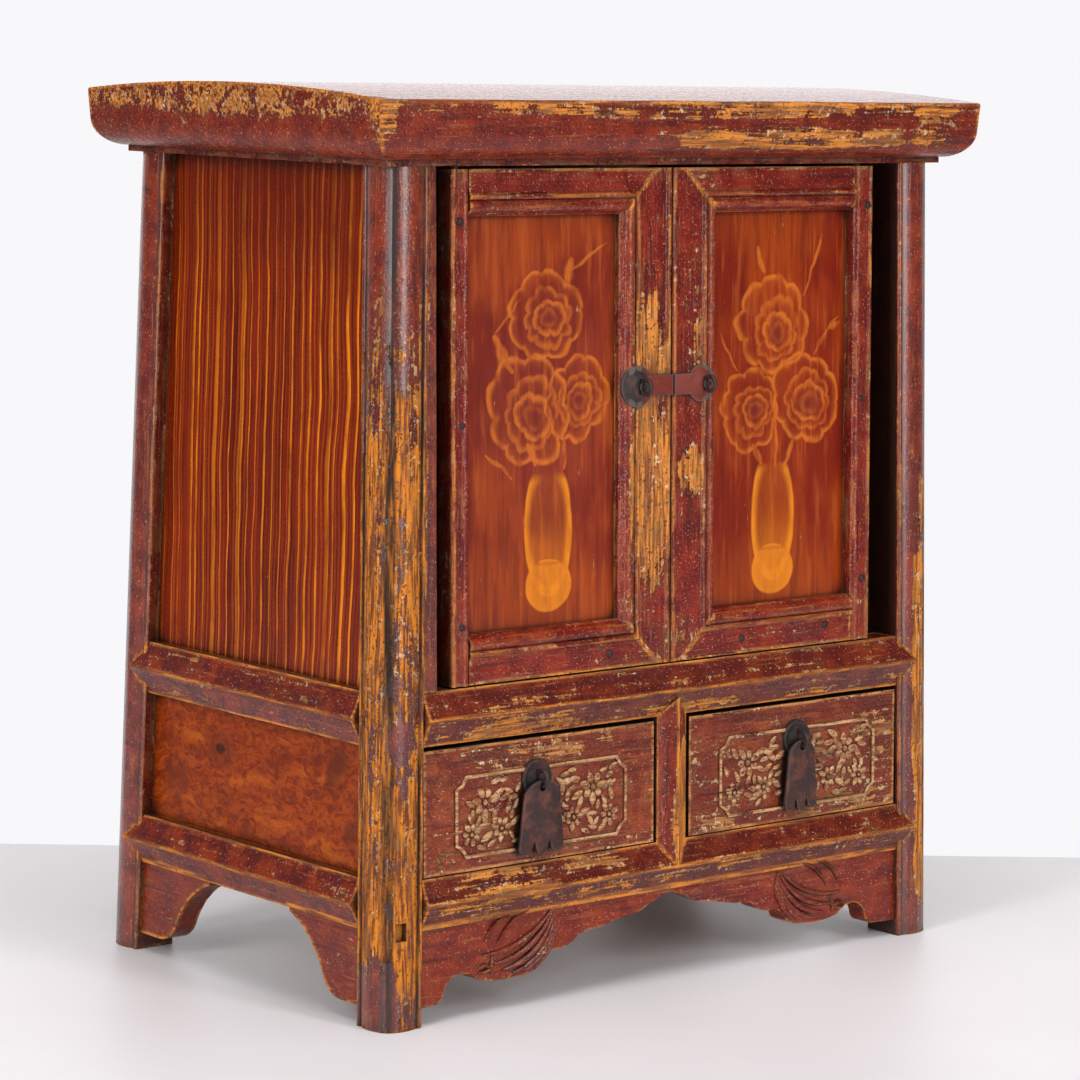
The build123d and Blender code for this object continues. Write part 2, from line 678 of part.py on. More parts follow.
# ---------------------------------------------------------------- drawers
DRAWER_SINK = 3
DRAWER_FRONT = 12
BOX_SIDE = 7
BOX_HIGH = UPPER_LOW - 11.5
BOX_LOW = LOWER_HIGH + DRAWER_CLEARANCE
BOX_BACK_Y = reach("back", UPPER_LOW) - RAIL_THICKNESS - DRAWER_BACK_PLAY
FACE_LOW = BOX_LOW + 0.2
FACE_HIGH = UPPER_LOW - 2.2


def pull_plate():
    """Round backplate under the pull's eye, lying on the drawer front."""
    return raised_disc(9.4, 2.2)


def pull(width):
    """Flat pendant: round head with a hole, flared sides, three lobes at the foot."""
    half = width / 2
    neck = width * 0.39
    lobe = width / 3
    foot = -PULL_LENGTH
    head = ThreePointArc((-neck, -7), (0, -0.9), (neck, -7))
    side = (
        Line((neck, -7), (half, foot + 2))
        + ThreePointArc((half, foot + 2), (half - lobe * 0.35, foot - 0.4), (half - lobe * 0.8, foot + 1.2))
        + Line((half - lobe * 0.8, foot + 1.2), (half - lobe, foot + 6))
        + Line((half - lobe, foot + 6), (half - lobe * 1.2, foot + 1))
    )
    middle = ThreePointArc(
        (half - lobe * 1.2, foot + 1), (0, foot - 1.2), (lobe * 1.2 - half, foot + 1)
    )
    hole = RING_RADIUS - RING_WIRE - RING_SLACK + PULL_HOLE
    outline = make_face(head + side + middle + mirror(side, about=Plane.YZ))
    plate = outline - Pos(0, -hole) * Circle(PULL_HOLE)
    return extrude(plate, PULL_THICKNESS / 2, both=True)


def drawer(middle_x, pull_height, pull_width):
    """Drawer with a leaning front, two sides, back, bottom and its iron pull."""
    limit = inner("front", FACE_HIGH) - 0.9
    near, far = DIVIDER / 2 + 2.2, limit
    window = Polyline((near, FACE_LOW), (far, FACE_LOW), (far, FACE_HIGH), (near, FACE_HIGH), close=True)
    front = slab("front", -DRAWER_SINK, DRAWER_FRONT, FACE_LOW, FACE_HIGH, FLOOR_WIDTH) & elevation(window)
    y_front = -reach("front", FACE_LOW) + DRAWER_SINK + 4
    sides = [
        block(x, x + BOX_SIDE, y_front, BOX_BACK_Y, BOX_LOW, BOX_HIGH)
        for x in (BOX_INNER_X, BOX_OUTER_X - BOX_SIDE)
    ]
    back = block(BOX_INNER_X + BOX_SIDE, BOX_OUTER_X - BOX_SIDE, BOX_BACK_Y - 12, BOX_BACK_Y - 4,
                 BOX_LOW + 8, BOX_HIGH - 3)
    bottom = block(BOX_INNER_X + 4, BOX_OUTER_X - 4, y_front + 3, BOX_BACK_Y - 4, BOX_LOW + 4, BOX_LOW + 8)
    front_groove = front - bottom
    box_sides = [one - bottom - front for one in sides]
    seat_out = -DRAWER_SINK
    spot = Pos(middle_x, pull_height / cos(LEAN_ANGLE), seat_out)
    staple = FRONT_WALL * (spot * eye(RING_RADIUS, RING_WIRE, RING_REACH))
    plate = FRONT_WALL * (spot * pull_plate()) - staple - front
    centre = FRONT_WALL.from_local_coords((middle_x, pull_height / cos(LEAN_ANGLE), seat_out + RING_REACH))
    hanging = Pos(centre.X, centre.Y, centre.Z) * (Rot(90, 0, 0) * pull(pull_width))
    shapes = {
        "front": front_groove - staple,
        "sides": box_sides,
        "back": back,
        "bottom": bottom,
        "pull_plate": plate,
        "pull_staple": staple,
        "pull": hanging,
    }
    return shapes, centre


for side, sign, out, pull_height, pull_width in (
    ("left", -1, LEFT_PULL_OUT, LEFT_PULL_HEIGHT, 29),
    ("right", 1, RIGHT_PULL_OUT, RIGHT_PULL_HEIGHT, 23),
):
    shapes, centre = drawer((BOX_INNER_X + BOX_OUTER_X) / 2 + out, pull_height, pull_width)
    for name, shape in shapes.items():
        if sign < 0:
            shape = [mirror(one, about=Plane.YZ) for one in shape] if isinstance(shape, list) else mirror(
                shape, about=Plane.YZ)
        pieces[f"{side}_drawer_{name}"] = shape
    print(side, "pull axis", sign * centre.X, centre.Y, centre.Z)

# ---------------------------------------------------------------- names
pieces["top_board"] = board
for wall, strip in bed.items():
    pieces[f"bed_{wall}"] = strip
for name, post in posts.items():
    pieces[f"post_{name}"] = post
for (wall, level), rail in rails.items():
    pieces[f"rail_{wall}_{level}"] = rail
for (wall, level), panel in panels.items():
    pieces[f"panel_{wall}_{level}"] = panel
pieces["divider"] = divider
pieces["compartment_floor"] = compartment_floor
pieces["drawer_floor"] = drawer_floor
pieces["drawer_guides"] = guides
pieces["apron_front"] = apron
for wall, pair in spandrels.items():
    pieces[f"spandrels_{wall}"] = pair
pieces["jamb_left"] = jamb

os.makedirs("parts", exist_ok=True)
for name, shape in pieces.items():
    solids = shape if isinstance(shape, list) else [shape]
    solids = [solid for one in solids for solid in one.solids()]
    kept = solids[0] if len(solids) == 1 else Compound(children=solids)
    export_step(kept, f"parts/{name}.step")
    if len(solids) != 1:
        print(name, len(solids), "solids")
print(len(pieces), "pieces")
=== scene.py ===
import functools
import math
import random

import bmesh
import bpy
from mathutils import Matrix, Vector


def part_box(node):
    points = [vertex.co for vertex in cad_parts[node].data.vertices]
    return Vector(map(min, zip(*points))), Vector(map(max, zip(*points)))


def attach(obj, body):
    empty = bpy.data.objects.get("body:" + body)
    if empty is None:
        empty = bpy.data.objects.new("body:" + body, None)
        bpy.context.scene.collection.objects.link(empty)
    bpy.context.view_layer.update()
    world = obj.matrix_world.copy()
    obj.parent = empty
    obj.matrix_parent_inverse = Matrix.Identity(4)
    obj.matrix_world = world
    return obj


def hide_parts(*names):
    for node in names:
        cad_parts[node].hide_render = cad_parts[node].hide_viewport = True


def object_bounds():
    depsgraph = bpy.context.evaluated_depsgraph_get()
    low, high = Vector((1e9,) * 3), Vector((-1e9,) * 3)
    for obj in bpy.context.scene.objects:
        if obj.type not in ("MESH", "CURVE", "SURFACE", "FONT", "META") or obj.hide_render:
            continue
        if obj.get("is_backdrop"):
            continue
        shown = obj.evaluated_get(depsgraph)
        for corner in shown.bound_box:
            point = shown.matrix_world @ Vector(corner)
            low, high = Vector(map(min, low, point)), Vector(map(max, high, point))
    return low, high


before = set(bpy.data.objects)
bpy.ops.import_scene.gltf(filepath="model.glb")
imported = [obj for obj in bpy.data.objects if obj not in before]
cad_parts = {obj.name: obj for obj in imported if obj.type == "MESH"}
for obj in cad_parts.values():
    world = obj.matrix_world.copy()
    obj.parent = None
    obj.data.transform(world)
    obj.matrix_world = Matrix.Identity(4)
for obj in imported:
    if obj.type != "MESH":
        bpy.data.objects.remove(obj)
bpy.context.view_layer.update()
scene = bpy.context.scene

# Lengths are in metres, written in millimetres times MM where that reads better.
MM = 0.001
FLOOR_DEPTH = 119 * MM      # from the middle to the front wall, at the floor
FLOOR_WIDTH = 189 * MM      # from the middle to a side wall, at the floor
POST_SECTION = 24 * MM
POST_GROOVE = 20.8 * MM     # from a post's outer face to the middle of the groove in it
FRONT_LEAN = 12 / 418       # how far the walls lean in for each unit of height
SIDE_LEAN = 6 / 418
# Moves what was made on the flat plane y = 0 onto the leaning front wall.
ON_FRONT = Matrix(((1, 0, 0, 0), (0, 1, FRONT_LEAN, -FLOOR_DEPTH), (0, 0, 1, 0), (0, 0, 0, 1)))
# How far the faces lie in front of the wall, as negative numbers.
DRAWER_FACE = -3 * MM
APRON_FACE = -4 * MM
# How deep the bumps of a finish can look.
LACQUER_RELIEF = 0.9 * MM
PANEL_RELIEF = 0.3 * MM
BARE_RELIEF = 0.5 * MM
IRON_RELIEF = 0.6 * MM
EDGE_REACH = 2.2 * MM       # how far in from an edge wear begins
JOINT_DEPTH = 9 * MM        # how near another surface has to be for dust, dirt and painted shade to gather


# -------- shader tools
def tint(red, green, blue):
    """A colour from the 8-bit values of a paint chart."""
    def straight(part):
        part = part / 255
        return part / 12.92 if part <= 0.04045 else ((part + 0.055) / 1.055) ** 2.4
    return (straight(red), straight(green), straight(blue), 1)


class Bench:
    """The node tree that the shader tools are working on."""
    tree = None


def join(value, socket):
    """Link a socket, or set it where the value is plain."""
    if isinstance(value, bpy.types.NodeSocket):
        Bench.tree.links.new(value, socket)
    else:
        socket.default_value = value


def put(kind, inputs=None, **settings):
    """Add a shader node with its settings and inputs."""
    node = Bench.tree.nodes.new("ShaderNode" + kind)
    for name, value in settings.items():
        setattr(node, name, value)
    for name, value in (inputs or {}).items():
        join(value, node.inputs[name])
    return node


def calc(operation, *values, clamp=False):
    """One step of arithmetic."""
    node = put("Math", operation=operation, use_clamp=clamp)
    for socket, value in zip(node.inputs, values):
        join(value, socket)
    return node.outputs[0]


times, plus, less = (functools.partial(calc, name) for name in ("MULTIPLY", "ADD", "SUBTRACT"))
times_plus, larger = (functools.partial(calc, name) for name in ("MULTIPLY_ADD", "MAXIMUM"))


def vector(operation, *values):
    """One step of vector arithmetic."""
    node = put("VectorMath", operation=operation)
    for socket, value in zip(node.inputs, values):
        join(value, socket)
    return node.outputs["Value" if operation in ("LENGTH", "DISTANCE", "DOT_PRODUCT") else "Vector"]


def mixed(share, first, second):
    """Two colours laid over each other."""
    node = put("Mix", data_type="RGBA", clamp_factor=True)
    for number, value in ((0, share), (6, first), (7, second)):
        join(value, node.inputs[number])
    return node.outputs[2]


def step(value, low, high, to_low=0.0, to_high=1.0):
    """Soft step from one level to another."""
    node = put("MapRange", interpolation_type="SMOOTHSTEP")
    for socket, item in zip(node.inputs, (value, low, high, to_low, to_high)):
        join(item, socket)
    return node.outputs[0]


def over(colour, paint, value, low, high, most=1.0):
    """Lay a paint over a colour as a value goes from low to high."""
    return mixed(step(value, low, high, 0.0, most), colour, tint(*paint))


def clouds(place, scale, detail=3.0, rough=0.6, distortion=0.0):
    """Soft random value from 0 to 1."""
    return put("TexNoise", {"Vector": place, "Scale": scale, "Detail": detail,
                            "Roughness": rough, "Distortion": distortion}).outputs[0]


def scaled(place, factors):
    """Place stretched or squeezed along each axis."""
    return put("Mapping", {"Vector": place, "Scale": factors}).outputs[0]


def axes(place):
    """The X, Y and Z of a place."""
    return put("SeparateXYZ", {"Vector": place}).outputs


def group(name, takes, gives):
    """Start a node group, which the tools then work on. None stands for a vector, a tuple for a colour."""
    tree = Bench.tree = bpy.data.node_groups.new(name, "ShaderNodeTree")
    for label, value in takes.items():
        kind = "Vector" if value is None else "Color" if isinstance(value, tuple) else "Float"
        socket = tree.interface.new_socket(label, in_out="INPUT", socket_type="NodeSocket" + kind)
        if value is not None:
            socket.default_value = value
    for label in gives:
        kind = "Color" if label == "Colour" else "Float"
        tree.interface.new_socket(label, in_out="OUTPUT", socket_type="NodeSocket" + kind)
    return tree, tree.nodes.new("NodeGroupInput").outputs, tree.nodes.new("NodeGroupOutput").inputs


def use(shared, inputs):
    """Place a node group in a material or in another group, and give what comes out of it."""
    node = Bench.tree.nodes.new("ShaderNodeGroup")
    node.node_tree = shared
    for name, value in inputs.items():
        join(value, node.inputs[name])
    return node.outputs


# -------- shared effects
def make_edge_finder():
    """Where the surface is a bare outer edge, and how closed in it is: where dust, dirt and painted shade
    gather.
    """
    tree, given, made = group("edges and joints", {"Reach": EDGE_REACH, "Depth": JOINT_DEPTH},
                              ["Edge", "Joint"])
    edge = put("AmbientOcclusion", {"Distance": given["Reach"]}, inside=True, only_local=True, samples=4)
    joint = put("AmbientOcclusion", {"Distance": given["Depth"]}, samples=4)
    join(times(less(1.0, edge.outputs["AO"]), 2.2, clamp=True), made["Edge"])
    join(less(1.0, joint.outputs["AO"], clamp=True), made["Joint"])
    return tree


def make_grain():
    """Growth lines and pores of a softwood, along the squeezed axis of the place."""
    tree, given, made = group("wood grain", {"Place": None, "Scale": 1.0}, ["Lines", "Pores"])
    place = vector("SCALE", given["Place"])
    join(given["Scale"], place.node.inputs["Scale"])
    wander = clouds(place, 45.0, 3.0, 0.5)
    lines = clouds(place, 330.0, 4.0, 0.62, 0.6)
    join(plus(times(lines, 0.65), times(wander, 0.35)), made["Lines"])
    join(clouds(place, 1300.0, 2.0, 0.7), made["Pores"])
    return tree


def make_patch():
    """One roughly oval worn or stained place."""
    tree, given, made = group("patch", {"Place": None, "Centre": None, "Size": None, "Amount": 1.0}, ["Mask"])
    away = vector("DIVIDE", vector("SUBTRACT", given["Place"], given["Centre"]), given["Size"])
    mask = step(vector("LENGTH", away), 1.15, 0.55)
    join(times(mask, given["Amount"]), made["Mask"])
    return tree


def make_spread():
    """Random value spread evenly about nought, about -1 to 1."""
    tree, given, made = group("spread clouds", {"Place": None, "Scale": 100.0, "Detail": 3.0}, ["Value"])
    value = clouds(given["Place"], given["Scale"], given["Detail"], 0.62)
    join(times_plus(value, 5.0, -2.5), made["Value"])
    return tree


def spread(place, scale, detail=3.0):
    """Evenly spread clouds at a place."""
    return use(spread_clouds, {"Place": place, "Scale": scale, "Detail": detail})[0]


def make_old_lacquer():
    """Lacquer that wears to ochre wood along the edges, with pale chips, dust in the joints, and near-black
    dirt and painted shade in joints and hollows.
    """
    takes = {"Place": None, "Grain": None, "Wear": 0.0, "Edge wear": 1.0, "Worn places": 0.0, "Chips": 0.7,
             "Grime": 0.8, "Dirt and shade in hollows": 0.0, "Lacquer": tint(96, 22, 14), "Thin lacquer": tint(134, 44, 16),
             "Wood": tint(220, 134, 38), "Dark wood": tint(134, 70, 24)}
    tree, given, made = group("old lacquer", takes, ["Colour", "Roughness", "Height", "Worn"])
    place, along = given["Place"], given["Grain"]

    edges = use(finds_edges, {"Depth": 0.013})
    edge, joint = edges["Edge"], edges["Joint"]
    broad = spread(place, 24.0)
    streaks = spread(along, 210.0, 4.0)
    threads = spread(along, 620.0)
    flakes = spread(place, 520.0, 2.0)
    blots = spread(place, 75.0, 4.0)

    level = times(edge, given["Edge wear"])
    for value, weight in ((broad, 0.15), (streaks, 0.25), (flakes, 0.10), (blots, 0.19), (threads, 0.08)):
        level = times_plus(value, weight, level)
    level = plus(level, plus(given["Wear"], given["Worn places"]))
    worn = step(level, 0.50, 0.56)
    rim = times(step(level, 0.38, 0.49), step(level, 0.95, 0.62))
    fleck = step(times_plus(spread(along, 420.0, 2.0), 0.5, spread(place, 330.0)), 0.50, 0.70)
    chips = times(times(rim, fleck), given["Chips"], clamp=True)
    outline = times(step(level, 0.42, 0.49), step(level, 0.58, 0.51))

    bare = mixed(step(threads, -0.5, 0.5), given["Dark wood"], given["Wood"])
    bare = over(bare, (112, 62, 34), streaks, 0.15, 0.8, 0.75)
    bare = over(bare, (66, 38, 24), flakes, 0.45, 0.75, 0.8)
    bare = over(bare, (132, 90, 42), blots, 0.1, 0.9, 0.45)
    coat = mixed(step(blots, -0.6, 0.7), given["Lacquer"], given["Thin lacquer"])
    coat = over(coat, (66, 18, 16), streaks, -0.1, -0.9, 0.7)
    coat = over(coat, (88, 28, 26), broad, 0.0, 0.9, 0.45)
    coat = over(coat, (158, 88, 44), threads, 0.45, 0.85, 0.5)
    coat = over(coat, (190, 128, 92), spread(place, 900.0, 1.0), 0.86, 1.05, 0.8)
    colour = mixed(worn, coat, bare)
    colour = mixed(times(outline, 0.6), colour, tint(58, 28, 18))
    colour = mixed(chips, colour, mixed(step(streaks, -0.4, 0.4), tint(236, 212, 176), tint(204, 160, 116)))
    dust = times(step(joint, 0.04, 0.30), step(plus(threads, blots), -0.3, 0.9))
    colour = mixed(times(dust, times(given["Grime"], 0.55)), colour, tint(104, 84, 62))
    # Near-black dirt and painted shade where the surface is closed in, and in the hollows a finish passes in.
    soil_and_shade = times(step(times_plus(blots, 0.06, joint), 0.24, 0.58), given["Grime"])
    soil_and_shade = larger(soil_and_shade, given["Dirt and shade in hollows"])
    colour = mixed(soil_and_shade, colour, tint(26, 16, 10))
    join(colour, made["Colour"])
    roughness = times_plus(flakes, 0.05, times_plus(worn, 0.32, 0.22))
    join(times_plus(soil_and_shade, 0.3, roughness, clamp=True), made["Roughness"])
    height = times_plus(worn, -0.45, times(flakes, 0.10))
    height = times_plus(chips, -0.35, height)
    height = times_plus(times(threads, worn), 0.16, height)
    height = times_plus(streaks, 0.13, times_plus(blots, 0.12, height))
    join(height, made["Height"])
    join(worn, made["Worn"])
    return tree


def make_bloom():
    """A faded peony from the front: scalloped rings of petals, brightest along their rims, and a dark heart."""
    takes = {"Place": None, "Centre": None, "Radius": 0.03, "Turn": 0.0}
    tree, given, made = group("painted bloom", takes, ["Paint", "Heart"])
    off = vector("SUBTRACT", given["Place"], given["Centre"])
    parts = axes(off)
    total = 0.0
    for size, petals, turn, across, up, strength in (
        (1.0, 8, 0.3, 0.0, 0.0, 0.50), (0.66, 10, 1.1, 0.07, -0.06, 0.34),
        (0.44, 7, 0.0, 0.11, -0.09, 0.46), (0.24, 3, 0.7, 0.11, -0.09, 0.20),
    ):
        x = less(calc("DIVIDE", parts["X"], given["Radius"]), across)
        z = less(calc("DIVIDE", parts["Z"], given["Radius"]), up)
        away = calc("SQRT", plus(times(x, x), times(z, z)))
        angle = plus(calc("ARCTAN2", z, x), plus(given["Turn"], turn))
        scallop = calc("POWER", calc("ABSOLUTE", calc("COSINE", times(angle, petals / 2))), 0.6)
        sway = times(calc("COSINE", times(angle, 2.0)), 0.05 * size)
        border = plus(times_plus(scallop, 0.13 * size, 0.85 * size), sway)
        gap = less(border, away)
        line = times(step(gap, -0.04, 0.02), step(gap, 0.14, 0.03))
        glow = times(step(gap, -0.02, 0.02), step(gap, 0.30, 0.03))
        ink = plus(times(line, strength), times(glow, 0.30 * strength))
        total = larger(total, ink)
    join(total, made["Paint"])
    join(step(away, 0.42, 0.16), made["Heart"])
    return tree


def make_oval():
    """A painted oval: its rim, and its inside."""
    tree, given, made = group("painted oval", {"Place": None, "Centre": None, "Size": None}, ["Rim", "Inside"])
    away = vector("DIVIDE", vector("SUBTRACT", given["Place"], given["Centre"]), given["Size"])
    shake = times(less(clouds(given["Place"], 50.0), 0.5), 0.06)
    radius = plus(vector("LENGTH", away), shake)
    inside = step(radius, 1.03, 0.95)
    join(times(inside, step(radius, 0.66, 0.95)), made["Rim"])
    join(inside, made["Inside"])
    return tree


def make_stroke():
    """A painted twig or leaf from one point to another."""
    takes = {"Place": None, "Start": None, "End": None, "Width": 0.001}
    tree, given, made = group("painted stroke", takes, ["Paint"])
    run = vector("SUBTRACT", given["End"], given["Start"])
    to_point = vector("SUBTRACT", given["Place"], given["Start"])
    share = calc("DIVIDE", vector("DOT_PRODUCT", to_point, run), vector("DOT_PRODUCT", run, run), clamp=True)
    along = vector("SCALE", run)
    join(share, along.node.inputs["Scale"])
    gap = calc("DIVIDE", vector("DISTANCE", to_point, along), given["Width"])
    belly = times_plus(calc("SINE", times(share, math.pi)), 0.6, 0.4)
    join(step(calc("DIVIDE", gap, belly), 1.4, 0.5), made["Paint"])
    return tree


finds_edges = make_edge_finder()
grain_of_wood = make_grain()
patch = make_patch()
spread_clouds = make_spread()
old_lacquer = make_old_lacquer()
bloom = make_bloom()
oval = make_oval()
stroke = make_stroke()


# -------- finishes
ACROSS = (0.07, 1, 1)       # the grain runs along X
INWARD = (1, 0.07, 1)       # along Y
UPRIGHT = (1, 1, 0.07)      # along Z


def new_finish(name):
    """A material with only its shader, the shader's inputs, and the object's own place."""
    finish = bpy.data.materials.new(name)
    finish.use_nodes = True
    Bench.tree = finish.node_tree
    Bench.tree.nodes.clear()
    surface = put("BsdfPrincipled")
    put("OutputMaterial", {"Surface": surface.outputs[0]})
    return finish, surface.inputs, put("TexCoord").outputs["Object"]


def dress(surface, colour, roughness, height=None, depth=0.0, shine=0.5):
    """Feed colour, roughness and shine to the shader, and relief as a height in units of depth."""
    surface["Specular IOR Level"].default_value = shine
    join(colour, surface["Base Color"])
    join(roughness, surface["Roughness"])
    if height:
        join(put("Bump", {"Height": height, "Distance": depth}).outputs[0], surface["Normal"])


def worn_places(place, patches):
    """Several patches added up."""
    total = 0.0
    for centre, size, amount in patches:
        here = use(patch, {"Place": place, "Centre": [c * MM for c in centre],
                           "Size": [s * MM for s in size], "Amount": amount})[0]
        total = here if total == 0.0 else plus(total, here)
    return total


def above_face(place, face):
    """How far a point stands in front of a flat face of the leaning front wall."""
    parts = axes(place)
    wall = times_plus(parts["Z"], FRONT_LEAN, -(FLOOR_DEPTH + face))
    return less(wall, parts["Y"])


def post_dirt_and_shade(place):
    """Dirt and painted shade on the posts in the corner valley and in the groove by the small bead, and painted
    shade on the doorway flank.
    """
    parts = axes(place)
    from_side = less(times_plus(parts["Z"], -SIDE_LEAN, FLOOR_WIDTH),
                     calc("ABSOLUTE", parts["X"]))
    from_front = less(times_plus(parts["Z"], -FRONT_LEAN, FLOOR_DEPTH),
                      calc("ABSOLUTE", parts["Y"]))
    corner = vector("LENGTH", put("CombineXYZ", {"X": from_side, "Y": from_front}).outputs[0])
    # The corner valley and the grooves get dirt and painted shade.
    dirt_and_shade = step(corner, 6.6 * MM, 4.2 * MM)
    for gap in (from_side, from_front):
        off = calc("ABSOLUTE", less(gap, POST_GROOVE))
        dirt_and_shade = larger(dirt_and_shade, step(off, 1.3 * MM, 0.4 * MM))
    ragged = spread(scaled(place, UPRIGHT), 260.0)
    dirt_and_shade = times(dirt_and_shade, step(ragged, -0.9, 0.5, 0.25, 0.92))
    # Painted shade on the flank beside the doorway, where the gap into the cabinet is dark.
    flank = times(step(from_side, POST_SECTION - 1.2 * MM, POST_SECTION - 0.2 * MM),
                  step(from_front, 1.5 * MM, 4 * MM, 0.0, 0.88))
    return larger(dirt_and_shade, flank)


def lacquer(name, along, patches=(), shine=0.40, gloss=0.0, rubbed=None, **values):
    """Old lacquer. What stands in front of the rubbed face is worn. Gloss, for posts, coats what is whole."""
    finish, surface, place = new_finish(name)
    inputs = {"Place": place, "Grain": scaled(place, along)}
    inputs.update({key.replace("_", " ").capitalize(): value for key, value in values.items()})
    worn = worn_places(place, patches) if patches else 0.0
    if rubbed:
        face, low, high, amount = rubbed
        worn = plus(worn, step(above_face(place, face), low * MM, high * MM, 0.0, amount))
    inputs["Worn places"] = worn
    # Posts get dirt and painted shade in their valley and groove, and painted shade on the doorway flank.
    if gloss:
        inputs["Dirt and shade in hollows"] = post_dirt_and_shade(place)
    aged = use(old_lacquer, inputs)
    if gloss:
        join(times(less(1.0, aged["Worn"]), gloss), surface["Coat Weight"])
        surface["Coat Roughness"].default_value = 0.26
    dress(surface, aged["Colour"], aged["Roughness"], aged["Height"], LACQUER_RELIEF, shine)
    return finish


def warped(place, scale, amount):
    """Place pushed about a little."""
    shake = put("TexNoise", {"Vector": place, "Scale": scale, "Detail": 2.0})
    push = vector("SUBTRACT", shake.outputs["Color"], (0.5, 0.5, 0.5))
    push = vector("MULTIPLY", push, (amount, amount, amount))
    return vector("ADD", place, push)


def striped_panel():
    """Glossy stained softwood whose growth lines stand out as thin amber stripes on red-brown."""
    finish, surface, place = new_finish("striped_softwood")
    parts = axes(place)
    slow = scaled(place, (1, 0.3, 0.3))
    wander = times_plus(clouds(slow, 26.0, 2.0, 0.5), 0.014, -0.007)
    shake = times_plus(clouds(scaled(place, (1, 1, 0.25)), 120.0, 2.0), 0.0022, -0.0011)
    y = plus(parts["Y"], plus(wander, shake))
    across = put("CombineXYZ", {"X": y}).outputs[0]
    uneven = clouds(across, 90.0, 2.0, 0.5)
    lines = calc("FRACT", times_plus(uneven, 2.4, times(y, 138.0)))
    amber = times(step(lines, 0.0, 0.08), step(lines, 0.30, 0.16))
    bright = plus(step(clouds(across, 60.0, 2.0), 0.35, 0.62, 0.35, 1.0),
                  step(parts["Y"], -0.02, -0.10, 0.0, 0.5))
    bright = times(bright, step(parts["Z"], 0.44, 0.33, 0.45, 1.0))
    bright = times(bright, step(clouds(scaled(place, (1, 1, 0.15)), 200.0), 0.30, 0.55, 0.35, 1.0))
    grain = use(grain_of_wood, {"Place": scaled(place, (1, 1, 0.05))})
    colour = mixed(step(grain["Lines"], 0.36, 0.64), tint(80, 14, 2), tint(122, 30, 3))
    hair = calc("FRACT", times(y, 360.0))
    thick = step(clouds(across, 240.0), 0.40, 0.62, 0.05, 0.62)
    colour = mixed(times(step(hair, 0.3, 0.7), thick), colour, tint(172, 68, 5))
    colour = mixed(times(amber, bright, clamp=True), colour, tint(228, 128, 14))
    colour = over(colour, (96, 22, 4), clouds(slow, 60.0), 0.5, 0.7, 0.4)
    colour = over(colour, (84, 14, 3), parts["Z"], 0.33, 0.42, 0.45)
    # Painted shade, near black, where the panel meets the posts and rails.
    edges = use(finds_edges, {"Depth": 0.012})
    colour = over(colour, (28, 11, 5), edges["Joint"], 0.16, 0.5, 0.95)
    speck = step(clouds(place, 150.0, 4.0, 0.75), 0.74, 0.77)
    colour = mixed(speck, colour, tint(206, 150, 100))
    dress(surface, colour, times_plus(clouds(place, 200.0), 0.16, 0.18),
          plus(times(amber, 0.3), grain["Lines"]), PANEL_RELIEF, 0.22)
    return finish


def mottled_panel():
    """Stained wood with a short fine figure, knots and a dark stain."""
    finish, surface, place = new_finish("mottled_softwood")
    near_knot = worn_places(warped(place, 60.0, 0.015), [((-187, 32.5, 116.6), (30, 16, 13), 1.0),
                                                         ((187, -20, 100), (30, 14, 12), 1.0)])
    bent = warped(place, 60.0, 0.012)
    figure = clouds(scaled(bent, (1, 0.5, 1)), 330.0, 5.0, 0.68, 0.8)
    wave = clouds(scaled(bent, (1, 0.22, 1)), 110.0)
    colour = mixed(step(figure, 0.38, 0.62), tint(116, 34, 2), tint(158, 64, 6))
    colour = over(colour, (98, 28, 3), wave, 0.52, 0.68, 0.6)
    colour = over(colour, (180, 86, 10), wave, 0.46, 0.32, 0.7)
    stain = worn_places(warped(place, 38.0, 0.045), [
        ((-187, -66, 119), (30, 11, 16), 1.0), ((-187, -84, 100), (30, 9, 18), 0.7),
        ((-187, 70, 92), (30, 12, 9), 0.6), ((187, 60, 120), (30, 16, 10), 0.8)])
    colour = mixed(times(stain, step(figure, 0.30, 0.55, 0.35, 0.75)), colour, tint(78, 28, 8))
    colour = mixed(times(near_knot, 0.55), colour, tint(104, 36, 8))
    knots = worn_places(place, [((-187, 32.5, 116.6), (30, 5, 3.4), 1.0), ((187, -20, 100), (30, 5, 4), 1.0)])
    colour = mixed(times(knots, 0.85), colour, tint(48, 18, 8))
    # Painted shade, near black, where the panel meets the posts and rails.
    edges = use(finds_edges, {"Depth": 0.012})
    colour = over(colour, (28, 12, 6), edges["Joint"], 0.16, 0.5, 0.95)
    dress(surface, colour, times_plus(figure, 0.2, 0.20),
          plus(figure, times(knots, -0.8)), PANEL_RELIEF, 0.16)
    return finish


